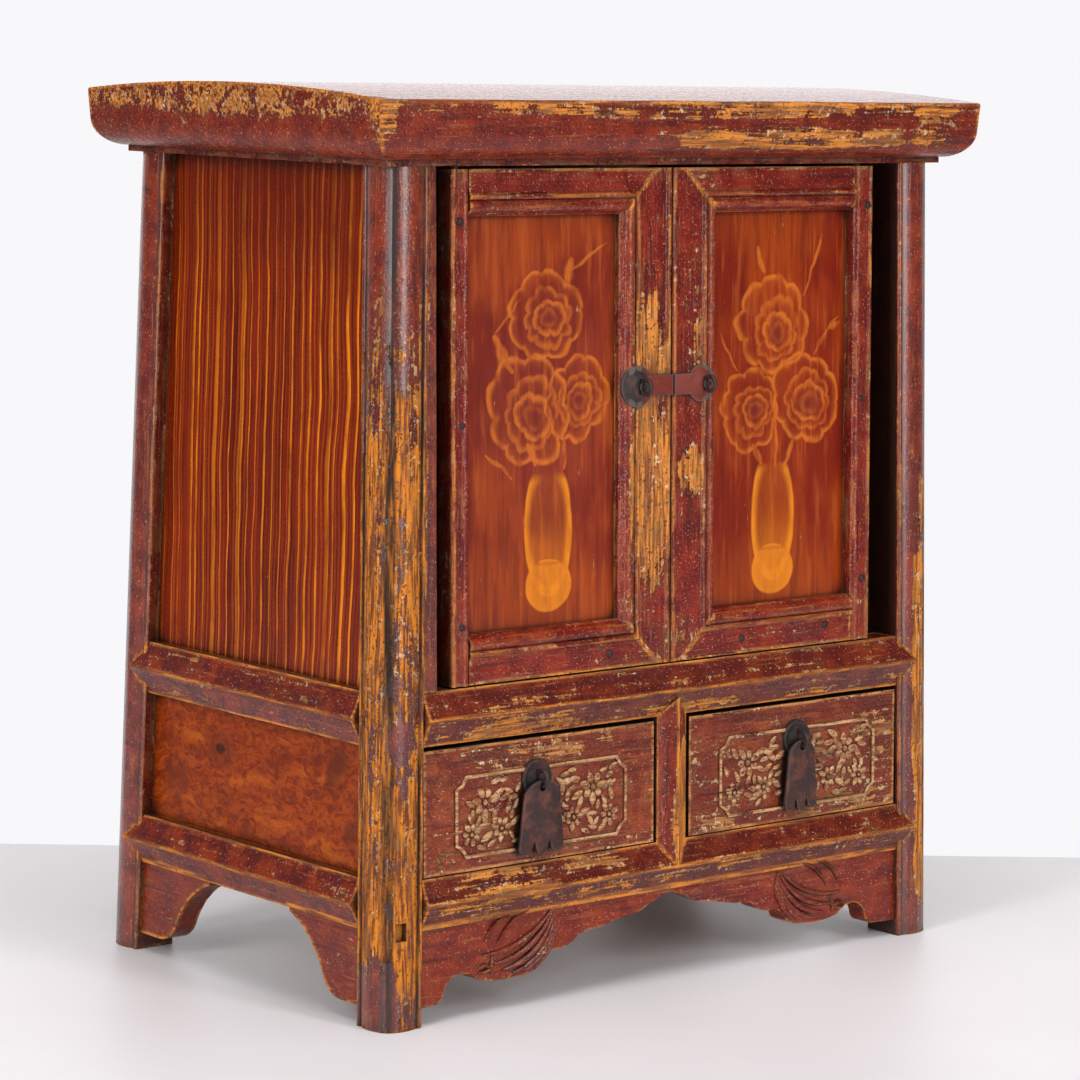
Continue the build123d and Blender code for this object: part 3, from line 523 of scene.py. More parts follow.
def painted_panel(name, ground, warm, dull, blooms, vase, twigs):
    """Lacquered door panel with a faded vase of flowers."""
    finish, surface, place = new_finish(name)
    flat = scaled(warped(warped(place, 45.0, 0.011), 170.0, 0.0018), (1, 0, 1))
    grain = use(grain_of_wood, {"Place": scaled(place, UPRIGHT)})
    streaks = spread(scaled(place, UPRIGHT), 260.0)
    broad = spread(scaled(place, (1, 1, 0.5)), 26.0)
    x, foot = vase
    colour = mixed(step(broad, -0.5, 0.6), ground, warm)
    bouquet = worn_places(place, [((x, -105, foot + 105), (46, 60, 62), 1.0)])
    colour = mixed(times(bouquet, 0.5), colour, dull)
    warm_ends = worn_places(place, [((x, -105, foot - 4), (62, 60, 40), 1.0),
                                    ((x, -105, foot + 196), (50, 60, 26), 0.7)])
    colour = mixed(times(warm_ends, 0.5), colour, tint(160, 66, 10))
    colour = over(colour, (184, 88, 32), streaks, 0.1, 0.8, 0.4)
    colour = over(colour, (92, 24, 12), streaks, -0.1, -0.8, 0.45)
    ink, heart = 0.0, 0.0
    for at_x, at_z, radius, turn in blooms:
        one = use(bloom, {"Place": flat, "Centre": (at_x * MM, 0, at_z * MM),
                          "Radius": radius * MM, "Turn": turn})
        ink = larger(ink, one["Paint"])
        heart = larger(heart, one["Heart"])
    for start, end, width in twigs:
        one = use(stroke, {"Place": flat, "Start": (start[0] * MM, 0, start[1] * MM),
                           "End": (end[0] * MM, 0, end[1] * MM), "Width": width * MM})
        ink = larger(ink, times(one[0], 0.55))
    faded = step(spread(scaled(place, (1, 1, 0.4)), 150.0), -0.9, 0.5, 0.4, 1.0)
    colour = mixed(times(heart, 0.55), colour, tint(106, 26, 26))
    colour = mixed(times(ink, faded), colour, tint(222, 120, 36))
    plain = scaled(warped(place, 30.0, 0.003), (1, 0, 1))
    body, base = (use(oval, {"Place": plain, "Centre": (x * MM, 0, (foot + up) * MM),
                             "Size": (wide * MM, 1, high * MM)})
                  for up, wide, high in ((42, 15.5, 36), (13, 15, 13.5)))
    height_z = axes(plain)["Z"]
    mouth = step(height_z, (foot + 70) * MM, (foot + 64) * MM)
    low_down = step(height_z, (foot + 50) * MM, (foot + 18) * MM)
    side = plus(times(body["Rim"], 0.85), times(body["Inside"], times_plus(low_down, 0.30, 0.10)))
    side = times(side, mouth)
    waist = step(calc("ABSOLUTE", less(height_z, (foot + 24) * MM)), 1.3 * MM, 0.5 * MM)
    bulb = times(times_plus(base["Rim"], 0.12, times(base["Inside"], 0.82)),
                 times_plus(waist, -0.35, 1.0))
    vessel = times(larger(side, bulb, clamp=True), times_plus(faded, 0.5, 0.5))
    colour = mixed(vessel, colour, tint(222, 128, 22))
    scuffs = step(clouds(scaled(place, (1, 1, 0.3)), 150.0, 5.0, 0.75), 0.67, 0.71)
    colour = mixed(times(scuffs, 0.75), colour, tint(206, 156, 108))
    # Painted shade, near black, where the panel meets the door frame.
    edges = use(finds_edges, {"Depth": 0.010})
    colour = over(colour, (36, 15, 9), edges["Joint"], 0.18, 0.5, 0.92)
    dress(surface, colour, times_plus(clouds(place, 240.0), 0.2, 0.22),
          plus(grain["Lines"], times(scuffs, -0.6)), PANEL_RELIEF, 0.25)
    return finish


def carved_wood(name, along, patches=(), **values):
    """Lacquer rubbed pale on the high spots of the carving, with the ground between them darkened by dirt and
    painted shade.
    """
    settings = dict(wear=0.34, edge_wear=0.8, chips=1.0, grime=1.0, lacquer=tint(112, 36, 14),
                    thin_lacquer=tint(146, 62, 24), wood=tint(204, 134, 70), dark_wood=tint(128, 68, 34))
    settings.update(values)
    return lacquer(name, along, patches, **settings)


def bare_wood(name, along):
    """Plain aged softwood, planed but never finished."""
    finish, surface, place = new_finish(name)
    grain = use(grain_of_wood, {"Place": scaled(place, along)})
    colour = mixed(step(grain["Lines"], 0.34, 0.66), tint(116, 78, 44), tint(168, 124, 78))
    colour = over(colour, (96, 62, 38), clouds(place, 14.0, 4.0), 0.5, 0.7, 0.5)
    # Painted shade in the joints and corners of the plain wood.
    edges = use(finds_edges, {"Depth": 0.014})
    colour = over(colour, (48, 32, 20), edges["Joint"], 0.3, 0.8, 0.8)
    colour = mixed(times(edges["Edge"], 0.3), colour, tint(190, 150, 104))
    dress(surface, colour, times_plus(grain["Pores"], 0.2, 0.6), grain["Lines"], BARE_RELIEF)
    return finish


def iron(name, metal, rust, paint=None, bare_left_of=None):
    """Old forged iron, brown in its hollows, with traces of lacquer where it was painted over."""
    finish, surface, place = new_finish(name)
    pitted = clouds(place, 500.0, 4.0, 0.7)
    broad = clouds(place, 110.0)
    colour = mixed(step(broad, 0.44, 0.66), metal, rust)
    edges = use(finds_edges, {"Reach": 0.0009, "Depth": 0.004})
    shine = step(times_plus(pitted, 0.3, edges["Edge"]), 0.35, 0.95)
    if paint:
        kept = times(step(broad, 0.30, 0.42), less(1.0, shine))
        if bare_left_of is not None:
            side = axes(place)["X"]
            kept = times(kept, step(side, (bare_left_of - 3) * MM, (bare_left_of + 3) * MM))
        colour = mixed(kept, colour, paint)
    colour = mixed(times(shine, 0.55), colour, tint(120, 106, 100))
    colour = over(colour, (18, 14, 12), edges["Joint"], 0.2, 0.8, 0.7)
    surface["Metallic"].default_value = 0.25 if paint else 0.55
    dress(surface, colour, times_plus(pitted, 0.3, 0.36), plus(pitted, broad), IRON_RELIEF)
    return finish


NEAR_POST_WEAR = [
    ((-187, -117, 165), (60, 60, 230), 0.50), ((-187, -114, 268), (7, 7, 9), -0.7),
    ((-181, -119, 143), (9, 9, 12), -0.7), ((-189, -108, 12), (16, 18, 26), -0.30),
    ((-174, -119, 42), (9, 6, 27), 0.6), ((-187, -117, 420), (60, 60, 60), -0.05),
]
DOOR_LACQUER = dict(edge_wear=0.8, chips=1.0, lacquer=tint(106, 20, 12), thin_lacquer=tint(138, 38, 18))
BED_LACQUER = dict(wear=0.04, edge_wear=0.25, grime=1.0, lacquer=tint(78, 19, 13))
IRON = (tint(44, 38, 38), tint(84, 50, 40))
FINISHES = {
    "uprights": lacquer("lacquer_uprights", UPRIGHT,
                        [((179, -118, 150), (9, 20, 120), 0.60), ((182, -118, 40), (9, 20, 50), 0.46)],
                        shine=0.30, gloss=0.85, wear=0.12, edge_wear=0.7, chips=0.8),
    "worn_post": lacquer("lacquer_worn_post", UPRIGHT, NEAR_POST_WEAR, shine=0.30, gloss=0.85, wear=0.16,
                         chips=0.55, edge_wear=0.6, wood=tint(214, 124, 14), dark_wood=tint(112, 52, 10)),
    "front_rails": lacquer("lacquer_front_rails", ACROSS, [
        ((-95, -122, 150), (40, 30, 12), 0.14), ((0, -122, 139), (400, 40, 6), 0.20),
        ((0, -122, 57), (400, 40, 6), 0.20), ((-90, -122, 68), (70, 40, 8), 0.20)],
        wear=0.30, edge_wear=1.1, grime=0.9, lacquer=tint(84, 20, 13), thin_lacquer=tint(118, 40, 15)),
    "side_rails": lacquer("lacquer_side_rails", INWARD, wear=0.26, edge_wear=1.1, grime=0.9,
                          lacquer=tint(88, 26, 24)),
    "front_beds": lacquer("lacquer_front_bed_strips", ACROSS, **BED_LACQUER),
    "side_beds": lacquer("lacquer_side_bed_strips", INWARD, **BED_LACQUER),
    "divider": lacquer("lacquer_divider", UPRIGHT, [((6, -120, 82), (9, 30, 46), 0.85)], wear=0.30,
                       edge_wear=1.0),
    "top": lacquer("lacquer_top", ACROSS, [
        ((20, -124, 446), (215, 9, 7), 0.46), ((70, -124, 431), (125, 14, 8), 0.54),
        ((170, -124, 438), (20, 14, 16), 0.3), ((-203, 0, 447), (14, 170, 10), 0.37),
        ((-198, -121, 440), (9, 9, 16), 0.36)],
        wear=0.14, edge_wear=0.7, chips=0.7, lacquer=tint(104, 24, 12)),
    "door_uprights": lacquer("lacquer_door_uprights", UPRIGHT, [
        ((-14, -108, 254), (16, 60, 58), 0.66), ((-14, -108, 328), (14, 60, 34), 0.54),
        ((-27, -108, 290), (4, 60, 150), 0.22), ((12, -108, 262), (11, 60, 17), 0.56),
        ((16, -108, 340), (12, 60, 44), 0.20), ((-135, -108, 290), (9, 60, 140), -0.26),
        ((135, -108, 290), (9, 60, 140), -0.10)], wear=0.20, **DOOR_LACQUER),
    "door_rails": lacquer("lacquer_door_rails", ACROSS, wear=0.18, **DOOR_LACQUER),
    "apron": lacquer("lacquer_apron", ACROSS, wear=-0.02, edge_wear=0.6, chips=0.5, grime=0.5,
                     lacquer=tint(112, 26, 10), thin_lacquer=tint(140, 46, 12)),
    "brackets": lacquer("lacquer_brackets", INWARD, wear=0.12, edge_wear=0.9, chips=0.9,
                        lacquer=tint(112, 30, 12)),
    "striped": striped_panel(),
    "mottled": mottled_panel(),
    "left_painting": painted_panel(
        "painted_panel_left", tint(120, 33, 17), tint(152, 58, 20), tint(120, 38, 32),
        [(-79.5, 344, 24, 0.0), (-90, 297, 29, 0.8), (-57.8, 301, 23, 1.9)], (-77.2, 196.5),
        [((-62, 366), (-38, 380), 1.0), ((-66, 360), (-60, 372), 2.6), ((-112, 332), (-100, 318), 3.0),
         ((-112, 334), (-96, 352), 0.9), ((-84, 268), (-90, 280), 1.6), ((-68, 268), (-66, 280), 1.6),
         ((-118, 276), (-100, 262), 1.2)]),
    "right_painting": painted_panel(
        "painted_panel_right", tint(124, 28, 3), tint(152, 54, 6), tint(130, 34, 12),
        [(75.5, 334, 26, 0.5), (60.2, 291, 22, 1.4), (99.9, 295, 25, 0.2)], (77.0, 193.5),
        [((70, 362), (66, 376), 2.2), ((98, 348), (112, 380), 1.0), ((78, 306), (78, 262), 1.3),
         ((104, 318), (122, 336), 1.0), ((116, 330), (122, 332), 2.2), ((52, 312), (40, 330), 0.9),
         ((84, 262), (92, 274), 1.5), ((70, 262), (62, 272), 1.5)]),
    "drawer_front": carved_wood("carved_drawer_fronts", ACROSS, [
        ((-87, -118, 100), (56, 30, 21), -0.5), ((90, -118, 101), (57, 30, 21), -0.4),
        ((-87, -118, 129), (80, 30, 9), 0.16), ((90, -118, 76), (80, 30, 8), 0.16)]),
    "carving": carved_wood("carved_flowers", ACROSS, wear=0.02, edge_wear=0.15,
                           rubbed=(DRAWER_FACE, 0.0, 0.8, 0.62), wood=tint(214, 162, 112),
                           dark_wood=tint(150, 92, 54)),
    "apron_carving": carved_wood("carved_apron", ACROSS, wear=-0.12, edge_wear=0.2, grime=1.0,
                                 rubbed=(APRON_FACE, 1.0, 2.1, 0.30), lacquer=tint(104, 24, 12),
                                 thin_lacquer=tint(130, 42, 14)),
    "bare_across": bare_wood("bare_wood_across", ACROSS),
    "bare_inward": bare_wood("bare_wood_inward", INWARD),
    "iron": iron("forged_iron", *IRON),
    "pull_iron": iron("forged_iron_pulls", tint(66, 46, 44), tint(104, 62, 50)),
    "part_painted_iron": iron("forged_iron_painted_tongue", *IRON, tint(126, 44, 30), -20),
    "painted_iron": iron("overpainted_iron", tint(50, 40, 38), tint(90, 52, 42), tint(122, 48, 34)),
}

# How the name of a kept part starts, how it ends, and its finish. The first row that fits counts.
FINISHED_AS = (
    ("top_board", "", "top"),
    ("post_front_left", "", "worn_post"),
    (("post_", "jamb"), "", "uprights"),
    ("divider", "", "divider"),
    (("bed_left", "bed_right"), "", "side_beds"),
    ("bed_", "", "front_beds"),
    (("rail_left", "rail_right"), "", "side_rails"),
    ("rail_", "", "front_rails"),
    (("panel_left", "panel_right"), "upper", "striped"),
    (("panel_left", "panel_right"), "lower", "mottled"),
    ("apron_front", "", "apron"),
    ("spandrels", "", "brackets"),
    ("left", "door_panel", "left_painting"),
    ("right", "door_panel", "right_painting"),
    ("", ("meeting_stile", "pivot_stile"), "door_uprights"),
    ("", ("top_rail", "foot_rail"), "door_rails"),
    ("", "drawer_front", "drawer_front"),
    ("right_door_lock_plate", "", "painted_iron"),
    ("", "drawer_pull", "pull_iron"),
    ("", ("plate", "staple"), "iron"),
    ("", ("drawer_sides", "drawer_guides"), "bare_inward"),
    ("", "", "bare_across"),
)


def finish_for(node):
    """The finish of a part that is kept as it is."""
    return next(finish for start, end, finish in FINISHED_AS
                if node.startswith(start) and node.endswith(end))


for name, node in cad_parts.items():
    node.data.materials.clear()
    node.data.materials.append(FINISHES[finish_for(name)])


# -------- shaping tools
def add_object(name, data):
    """Put an object in the scene."""
    thing = bpy.data.objects.new(name, data)
    scene.collection.objects.link(thing)
    return thing


def new_piece(name, shape, body, finish, slot, replaced=(), crease=40):
    """Turn a finished bmesh into a piece that rides on a body."""
    mesh = bpy.data.meshes.new(name)
    shape.to_mesh(mesh)
    shape.free()
    mesh.shade_smooth()
    mesh.set_sharp_from_angle(angle=math.radians(crease))
    mesh.materials.append(FINISHES[finish])
    piece = add_object(name, mesh)
    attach(piece, body)
    if replaced:
        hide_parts(*replaced)
    return piece


def round_off(shape, edges, width, clamp=False):
    """Round edges in two steps."""
    bmesh.ops.bevel(shape, geom=edges, offset=width, segments=2, profile=0.5, affect="EDGES",
                    material=-1, clamp_overlap=clamp)


def meets_at(edge, angle):
    """Whether two faces meet along an edge at more than an angle in radians."""
    return len(edge.link_faces) == 2 and edge.calc_face_angle() > angle


def eased_copy(node, width):
    """A part's own shape, its loose triangles joined into whole faces and its sharp edges rounded."""
    shape = bmesh.new()
    shape.from_mesh(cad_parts[node].data)
    bmesh.ops.remove_doubles(shape, verts=shape.verts, dist=2e-6)
    bmesh.ops.dissolve_limit(shape, angle_limit=math.radians(0.6), verts=shape.verts,
                             edges=shape.edges, delimit={"NORMAL"})
    round_off(shape, [e for e in shape.edges if meets_at(e, math.radians(35))], width, clamp=True)
    return shape


def turned_disc(profile, centre, steps=40):
    """Round plate from half its section: (radius, rise) pairs in millimetres, spun about Y."""
    shape = bmesh.new()
    points = [shape.verts.new((radius * MM, -rise * MM, 0)) for radius, rise in profile]
    edges = [shape.edges.new(pair) for pair in zip(points, points[1:])]
    bmesh.ops.spin(shape, geom=points + edges, cent=(0, 0, 0), axis=(0, 1, 0), angle=2 * math.pi,
                   steps=steps, use_merge=True)
    return close_up(shape, centre)


def close_up(shape, centre):
    """Merge what meets, turn the faces outwards and move the shape to its place."""
    bmesh.ops.remove_doubles(shape, verts=shape.verts, dist=1e-6)
    bmesh.ops.recalc_face_normals(shape, faces=shape.faces)
    bmesh.ops.transform(shape, matrix=Matrix.Translation(centre), verts=shape.verts)
    return shape


def eye_on_shank(ring_at, radius, wire, shank_at, length):
    """Round wire bent into an upright ring, and a round shank behind it. Radius and wire are in millimetres."""
    ring, shank = bmesh.new(), bmesh.new()
    upright = Matrix.Translation((radius * MM, 0, 0)) @ Matrix.Rotation(math.pi / 2, 4, "X")
    bmesh.ops.create_circle(ring, segments=14, radius=wire * MM, matrix=upright)
    bmesh.ops.spin(ring, geom=ring.verts[:] + ring.edges[:], cent=(0, 0, 0), axis=(0, 0, 1),
                   angle=2 * math.pi, steps=36, use_merge=True)
    bmesh.ops.rotate(ring, verts=ring.verts, cent=(0, 0, 0), matrix=Matrix.Rotation(math.pi / 2, 3, "Y"))
    along_y = Matrix.Translation(shank_at) @ Matrix.Rotation(math.pi / 2, 4, "X")
    bmesh.ops.create_cone(shank, cap_ends=True, segments=12, radius1=SHANK, radius2=SHANK, depth=length,
                          matrix=along_y)
    return joined([close_up(ring, ring_at), shank])


def joined(shapes):
    """Several bmeshes as one."""
    whole = bmesh.new()
    for shape in shapes:
        mesh = bpy.data.meshes.new("part")
        shape.to_mesh(mesh)
        shape.free()
        whole.from_mesh(mesh)
        bpy.data.meshes.remove(mesh)
    return whole


# -------- carving
def set_on(shape, face):
    """Move what was made on the plane y = 0 to a face of the leaning front wall."""
    bmesh.ops.translate(shape, vec=(0, -face, 0), verts=shape.verts)
    bmesh.ops.transform(shape, matrix=ON_FRONT, verts=shape.verts)
    return shape


PETAL_RISE = 1.7            # in millimetres
PETAL_SUNK = 0.25           # share of a petal's rise that lies in the ground


def lobe(shape, x, z, angle, length, width, rise):
    """One carved petal or leaf on the plane y = 0: a low mound pointed at its tip, in millimetres."""
    made = bmesh.ops.create_uvsphere(shape, u_segments=12, v_segments=7, radius=1)["verts"]
    for vert in made:
        across, along = vert.co.z, vert.co.x
        taper = 1 - 0.45 * max(0.0, along) ** 2
        vert.co = Vector((along, vert.co.y, across * taper))
    size = Matrix.Diagonal((length / 2 * MM, rise * MM, width / 2 * MM, 1))
    turn = Matrix.Rotation(-angle, 4, "Y")
    shift = Matrix.Translation((length / 2 * MM, rise * PETAL_SUNK * MM, 0))
    place = Matrix.Translation((x * MM, 0, z * MM))
    bmesh.ops.transform(shape, matrix=place @ turn @ shift @ size, verts=made)


def blossom(shape, x, z, petals, radius, turn):
    """Open flower: a ring of petals round a button."""
    for number in range(petals):
        angle = turn + 2 * math.pi * number / petals
        share = 0.88 + 0.16 * math.sin(2.7 * number + 5 * turn)
        lobe(shape, x + 0.20 * radius * math.cos(angle), z + 0.20 * radius * math.sin(angle), angle,
             radius * share, radius * 0.62, PETAL_RISE * share)
    lobe(shape, x - radius * 0.2, z, 0, radius * 0.4, radius * 0.4, PETAL_RISE * 1.2)


def border_bead(shape, low_x, high_x, low_z, high_z, corner, width, rise):
    """Raised bead round a panel with cut-in corners, in millimetres."""
    points = []
    for sign_x, sign_z, order in ((1, 1, 1), (-1, 1, -1), (-1, -1, 1), (1, -1, -1)):
        x = high_x if sign_x > 0 else low_x
        z = high_z if sign_z > 0 else low_z
        bow = corner * 0.62
        three = [(x, z - sign_z * corner), (x - sign_x * bow, z - sign_z * bow), (x - sign_x * corner, z)]
        points += three[::order]
    outline = [shape.verts.new((px * MM, 0, pz * MM)) for px, pz in points]
    face = shape.faces.new(outline)
    face.normal_update()
    ring = bmesh.ops.inset_region(shape, faces=[face], thickness=width * MM, use_even_offset=True,
                                  use_boundary=True)["faces"]
    bmesh.ops.delete(shape, geom=[face], context="FACES")
    raised = bmesh.ops.extrude_face_region(shape, geom=ring, use_keep_orig=True)["geom"]
    top = [v for v in raised if isinstance(v, bmesh.types.BMVert)]
    bmesh.ops.translate(shape, vec=(0, -rise * MM, 0), verts=top)
    level = [e for e in shape.edges if all(abs(v.co.y + rise * MM) < 1e-7 for v in e.verts)]
    round_off(shape, [e for e in level if meets_at(e, 1)], min(width, rise) * 0.45 * MM)
    bmesh.ops.recalc_face_normals(shape, faces=shape.faces)


def drawer_carving(side, low_x, high_x, low_z, high_z, pull_x, seed):
    """Bead and flower clusters on a drawer front."""
    chance = random.Random(seed)
    bead = bmesh.new()
    border_bead(bead, low_x, high_x, low_z, high_z, 6.5, 1.9, 1.15)
    flowers = bmesh.new()
    mid_z = (low_z + high_z) / 2
    blooms = []
    for sign in (-1, 1):
        inner = pull_x + sign * 13
        outer = low_x + 6 if sign < 0 else high_x - 6
        span = outer - inner
        blooms += [(inner + span * share, mid_z + up, radius)
                   for share, up, radius in ((0.60, 6, 8.4), (0.28, -8, 6.6), (0.86, -9, 6.4))]
    for x, z, radius in blooms:
        blossom(flowers, x, z, 7, radius, chance.uniform(0, 1))
    rows = 8
    for row in range(rows):
        z = low_z + 5.5 + (high_z - low_z - 11) * row / (rows - 1)
        columns = int((high_x - low_x - 10) / 5.6)
        for column in range(columns):
            x = low_x + 6 + (high_x - low_x - 12) * (column + 0.5 * (row % 2)) / columns
            x, z_leaf = x + chance.uniform(-1.2, 1.2), z + chance.uniform(-1.0, 1.0)
            length = chance.uniform(6.5, 10.5)
            near = min(blooms, key=lambda b: math.hypot(x - b[0], z_leaf - b[1]) - b[2])
            away = math.hypot(x - near[0], z_leaf - near[1])
            if away < near[2] + 0.5 or abs(x - pull_x) < 11:
                continue
            angle = math.atan2(z_leaf - near[1], x - near[0]) + chance.uniform(-0.8, 0.8)
            tip_x, tip_z = x + length * 0.6 * math.cos(angle), z_leaf + length * 0.6 * math.sin(angle)
            if low_x + 3 < tip_x < high_x - 3 and low_z + 2.5 < tip_z < high_z - 2.5:
                root_x, root_z = x - length * 0.45 * math.cos(angle), z_leaf - length * 0.45 * math.sin(angle)
                lobe(flowers, root_x, root_z, angle, length, length * 0.44, chance.uniform(1.3, 1.9))
    bmesh.ops.recalc_face_normals(flowers, faces=flowers.faces)
    shape = set_on(joined([bead, flowers]), DRAWER_FACE)
    new_piece(f"{side}_drawer_carving", shape, f"{side}_drawer", "carving", "carved_drawer_front")


drawer_carving("left", -143, -31, 79.5, 121, -91, 4)
drawer_carving("right", 33, 146.5, 79.5, 122.5, 88, 9)


def flute(shape, start, end, bulge, width):
    """Curved ridge with thin ends on the plane y = 0, from one point to another, in millimetres."""
    start, end = Vector(start), Vector(end)
    chord = (end - start).length
    radius = (chord ** 2 / 4 + bulge ** 2) / (2 * abs(bulge))
    sweep = 4 * math.atan(2 * abs(bulge) / chord)
    side = Vector((-(end - start).y, (end - start).x)).normalized() * math.copysign(1, bulge)
    centre = (start + end) / 2 + side * (abs(bulge) - radius)
    first = math.atan2(start.y - centre.y, start.x - centre.x)
    if bulge > 0:
        sweep = -sweep
    section = Matrix.Translation((radius * MM, 0, 0)) @ Matrix.Diagonal((width / 2 * MM, 2.1 * MM, 1, 1))
    before = set(shape.verts)
    ring = bmesh.ops.create_circle(shape, segments=8, radius=1, matrix=section)["verts"]
    edges = list({edge for vert in ring for edge in vert.link_edges})
    steps = 12
    bmesh.ops.spin(shape, geom=ring + edges, cent=(0, 0, 0), axis=(0, 1, 0), angle=-sweep, steps=steps)
    made = [vert for vert in shape.verts if vert not in before]
    for vert in made:
        share = min(max(math.atan2(vert.co.z, vert.co.x) / sweep, 0), 1)
        thin = math.sin(math.pi * (0.05 + 0.90 * share)) ** 0.6
        out = math.hypot(vert.co.x, vert.co.z)
        kept = (radius * MM + (out - radius * MM) * thin) / out
        vert.co = Vector((vert.co.x * kept, vert.co.y * thin, vert.co.z * kept))
    bmesh.ops.rotate(shape, verts=made, cent=(0, 0, 0), matrix=Matrix.Rotation(-first, 3, "Y"))
    bmesh.ops.translate(shape, verts=made, vec=(centre.x * MM, 0, centre.y * MM))


def apron_scroll(mirrored, x):
    """Leaf scroll on a lobe of the apron: flutes that gather into a tip, and a curl at their foot."""
    shape = bmesh.new()
    flutes = [
        ((-22, 30), (24, 48), -6, 3.2), ((-15, 24.5), (24, 47), -6.5, 3.8),
        ((-9, 20.5), (24.5, 45.5), -6.5, 4.0), ((-2, 18.2), (25, 44), -6, 4.0),
        ((5, 18.0), (25.5, 42), -4.5, 3.8), ((12, 19.0), (26, 40), -3, 3.2),
        ((-25, 22), (-16, 30), -4.5, 2.6), ((-25, 22), (-16, 19.5), 3.4, 2.4),
        ((-16, 19.5), (-14, 25), 2.2, 2.2), ((-14, 25), (-20, 25.5), 2.0, 2.0),
        ((-12, 34), (14, 50), 4.0, 2.4), ((-20, 36), (-2, 48), 3.5, 2.2)]
    for start, end, bulge, width in flutes:
        if mirrored:
            start, end, bulge = (-start[0], start[1]), (-end[0], end[1]), -bulge
        flute(shape, (x + start[0], start[1]), (x + end[0], end[1]), bulge, width)
    loose = [edge for edge in shape.edges if edge.is_boundary]
    bmesh.ops.holes_fill(shape, edges=loose, sides=8)
    bmesh.ops.recalc_face_normals(shape, faces=shape.faces)
    return set_on(shape, APRON_FACE)


new_piece("apron_carving", joined([apron_scroll(False, -103), apron_scroll(True, 101)]),
          "carcase", "apron_carving", "apron_lacquer", crease=60)


# -------- iron fittings
SHANK = 1.1 * MM            # radius of an eye's shank
DRAWER_WIRE, DOOR_WIRE = 1.05, 1.15     # radius of the eyes' wire, in millimetres
EYE_OUT = 5.2 * MM          # from the drawer front to the middle of its eye
PLATE_SECTION = [(0, 2.6), (2.4, 2.5), (4.6, 2.0), (6.2, 1.55), (7.4, 1.55), (8.4, 1.9), (9.1, 1.6),
                 (9.4, 1.0), (9.4, 0.0), (0, 0)]


def on_wall(z, face):
    """Y of a face of the leaning front wall at a height."""
    return -(FLOOR_DEPTH - FRONT_LEAN * z + face)


fitting = functools.partial(new_piece, finish="iron", slot="dark_iron", crease=60)
for side, tongue, slot in (("left", "part_painted_iron", "dark_iron"),
                           ("right", "painted_iron", "painted_iron")):
    drawer, door = f"{side}_drawer", f"{side}_door"
    low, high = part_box(f"{drawer}_pull_plate")
    at = (low + high) / 2
    seat = on_wall(at.z, DRAWER_FACE)
    disc = turned_disc(PLATE_SECTION, (at.x, seat, at.z))
    fitting(f"{drawer}_plate_domed", disc, drawer, replaced=[f"{drawer}_pull_plate"])

    eye = eye_on_shank((at.x, seat - EYE_OUT, at.z), 4, DRAWER_WIRE, (at.x, seat + 3.5 * MM, at.z), 10 * MM)
    fitting(f"{drawer}_eye", eye, drawer, replaced=[f"{drawer}_pull_staple"])

    pendant = eased_copy(f"{drawer}_pull", 0.45 * MM)
    new_piece(f"{side}_pull_pendant", pendant, f"{side}_pull", "pull_iron", "dark_iron", [f"{drawer}_pull"])

    plate = eased_copy(f"{door}_lock_plate", 0.35 * MM)
    new_piece(f"{door}_plate_eased", plate, door, tongue, slot, [f"{door}_lock_plate"])

    low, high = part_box(f"{door}_lock_staple")
    at = (low + high) / 2
    loop = (high.z - low.z) / 2
    length = high.y - low.y - loop
    eye = eye_on_shank((at.x, low.y + loop, at.z), loop / MM - DOOR_WIRE, DOOR_WIRE,
                       (at.x, high.y - length / 2, at.z), length)
    fitting(f"{door}_eye", eye, door, replaced=[f"{door}_lock_staple"])


def nail(x, z, radius, out, rise):
    """Domed nail head on the front wall, in millimetres."""
    section = [(0, rise), (radius * 0.45, rise * 0.92), (radius * 0.8, rise * 0.6), (radius, 0.0),
               (radius, -0.8), (0, -0.8)]
    return turned_disc(section, (x * MM, on_wall(z * MM, out * MM), z * MM), steps=16)


for side, spots in (
    ("left", [(-139.1, 391), (-137.3, 292.5), (-137.4, 193.9), (-42.1, 172.6)]),
    ("right", [(138.1, 395.8), (133.6, 293.9), (136.6, 197.7), (49.1, 172.6), (109.3, 174.7)]),
):
    heads = [nail(x, z, 2.1, -3.0, 1.0) for x, z in spots]
    fitting(f"{side}_door_nails", joined(heads), f"{side}_door")


# -------- stage, light and camera
AWAY = Vector((math.sin(math.radians(40.19)), math.cos(math.radians(40.19)), 0))     # level, from the camera
TABLE_BEHIND = 0.219        # how far the table reaches that way from the middle of the floor
TABLE_SIZE = (4.4, 2.6, 0.04)
TABLE_TURN = math.radians(38.4)
UNDER_FEET = 0.1 * MM       # gap between the feet and the table


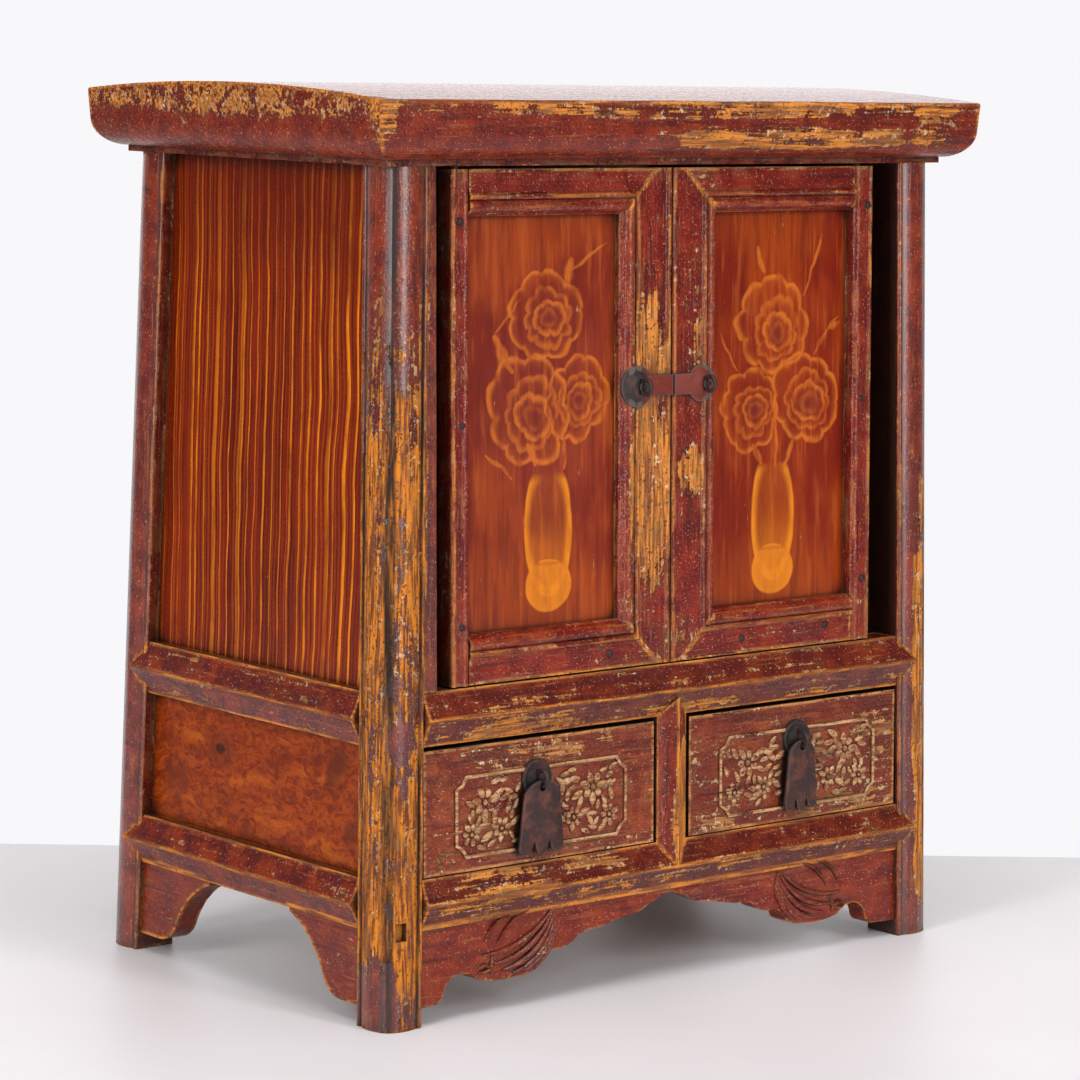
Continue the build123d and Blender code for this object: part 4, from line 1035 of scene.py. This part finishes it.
def make_table():
    """Pale table top that ends just behind the cabinet."""
    shape = bmesh.new()
    bmesh.ops.create_cube(shape, size=1, matrix=Matrix.Diagonal((*TABLE_SIZE, 1)))
    centre = AWAY * (TABLE_BEHIND - TABLE_SIZE[1] / 2) - Vector((0, 0, TABLE_SIZE[2] / 2 + UNDER_FEET))
    place = Matrix.Translation(centre) @ Matrix.Rotation(-TABLE_TURN, 4, "Z")
    bmesh.ops.transform(shape, matrix=place, verts=shape.verts)
    round_off(shape, shape.edges[:], 2 * MM)
    mesh = bpy.data.meshes.new("table")
    shape.to_mesh(mesh)
    shape.free()
    finish, surface, place = new_finish("table_white")
    shade = step(clouds(place, 3.0), 0.3, 0.7)
    dress(surface, mixed(shade, tint(229, 226, 229), tint(235, 232, 235)),
          times_plus(clouds(place, 60.0), 0.1, 0.42))
    mesh.materials.append(finish)
    add_object("table", mesh)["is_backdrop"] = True


def softbox(name, place, aim_height, width, height, power):
    """Area light that looks at a point above the middle of the floor."""
    light = bpy.data.lights.new(name, "AREA")
    light.shape = "RECTANGLE"
    light.size, light.size_y, light.energy = width, height, power
    lamp = add_object(name, light)
    lamp.location = place
    lamp.visible_camera = False
    lamp.rotation_euler = (Vector((0, 0, aim_height)) - Vector(place)).to_track_quat("-Z", "Y").to_euler()


make_table()
softbox("left_softbox", (-2.4, -0.55, 1.0), aim_height=0.55, width=0.6, height=1.9, power=36)
softbox("front_softbox", (0.3, -2.6, 1.15), aim_height=0.55, width=0.5, height=2.2, power=38)
softbox("top_softbox", (-0.3, -0.4, 2.5), aim_height=0.3, width=1.4, height=1.4, power=25)
softbox("back_panel", (1.75, 2.1, 0.62), aim_height=0.45, width=2.6, height=0.9, power=7)

world = bpy.data.worlds.new("studio")
scene.world = world
world.use_nodes = True
Bench.tree = world.node_tree
Bench.tree.nodes.clear()
rays = put("LightPath").outputs
mirrored = larger(rays["Is Glossy Ray"], rays["Is Transmission Ray"])
# The white backdrop stands behind the cabinet. Gloss shows it there, and a dim room elsewhere.
ahead = vector("DOT_PRODUCT", put("TexCoord").outputs["Generated"], [round(part, 3) for part in AWAY])
seen = larger(rays["Is Camera Ray"], times(mirrored, step(ahead, 0.55, 0.80)))
ambient = put("Background", {"Color": (1, 1, 1, 1), "Strength": times_plus(mirrored, -0.24, 0.38)})
backdrop = put("Background", {"Color": tint(248, 247, 250), "Strength": 1.0})
choose = put("MixShader", {"Fac": seen})
join(ambient.outputs[0], choose.inputs[1])
join(backdrop.outputs[0], choose.inputs[2])
put("OutputWorld", {"Surface": choose.outputs[0]})

lens = bpy.data.cameras.new("camera")
lens.lens = 126.413
lens.sensor_width = 36
camera = add_object("camera", lens)
camera.location = (-1.29161, -1.52619, 0.47729)
camera.rotation_euler = [math.radians(angle) for angle in (82.5298, -1.1428, -40.1878)]
scene.camera = camera
scene.view_settings.view_transform = "Standard"

low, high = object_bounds()
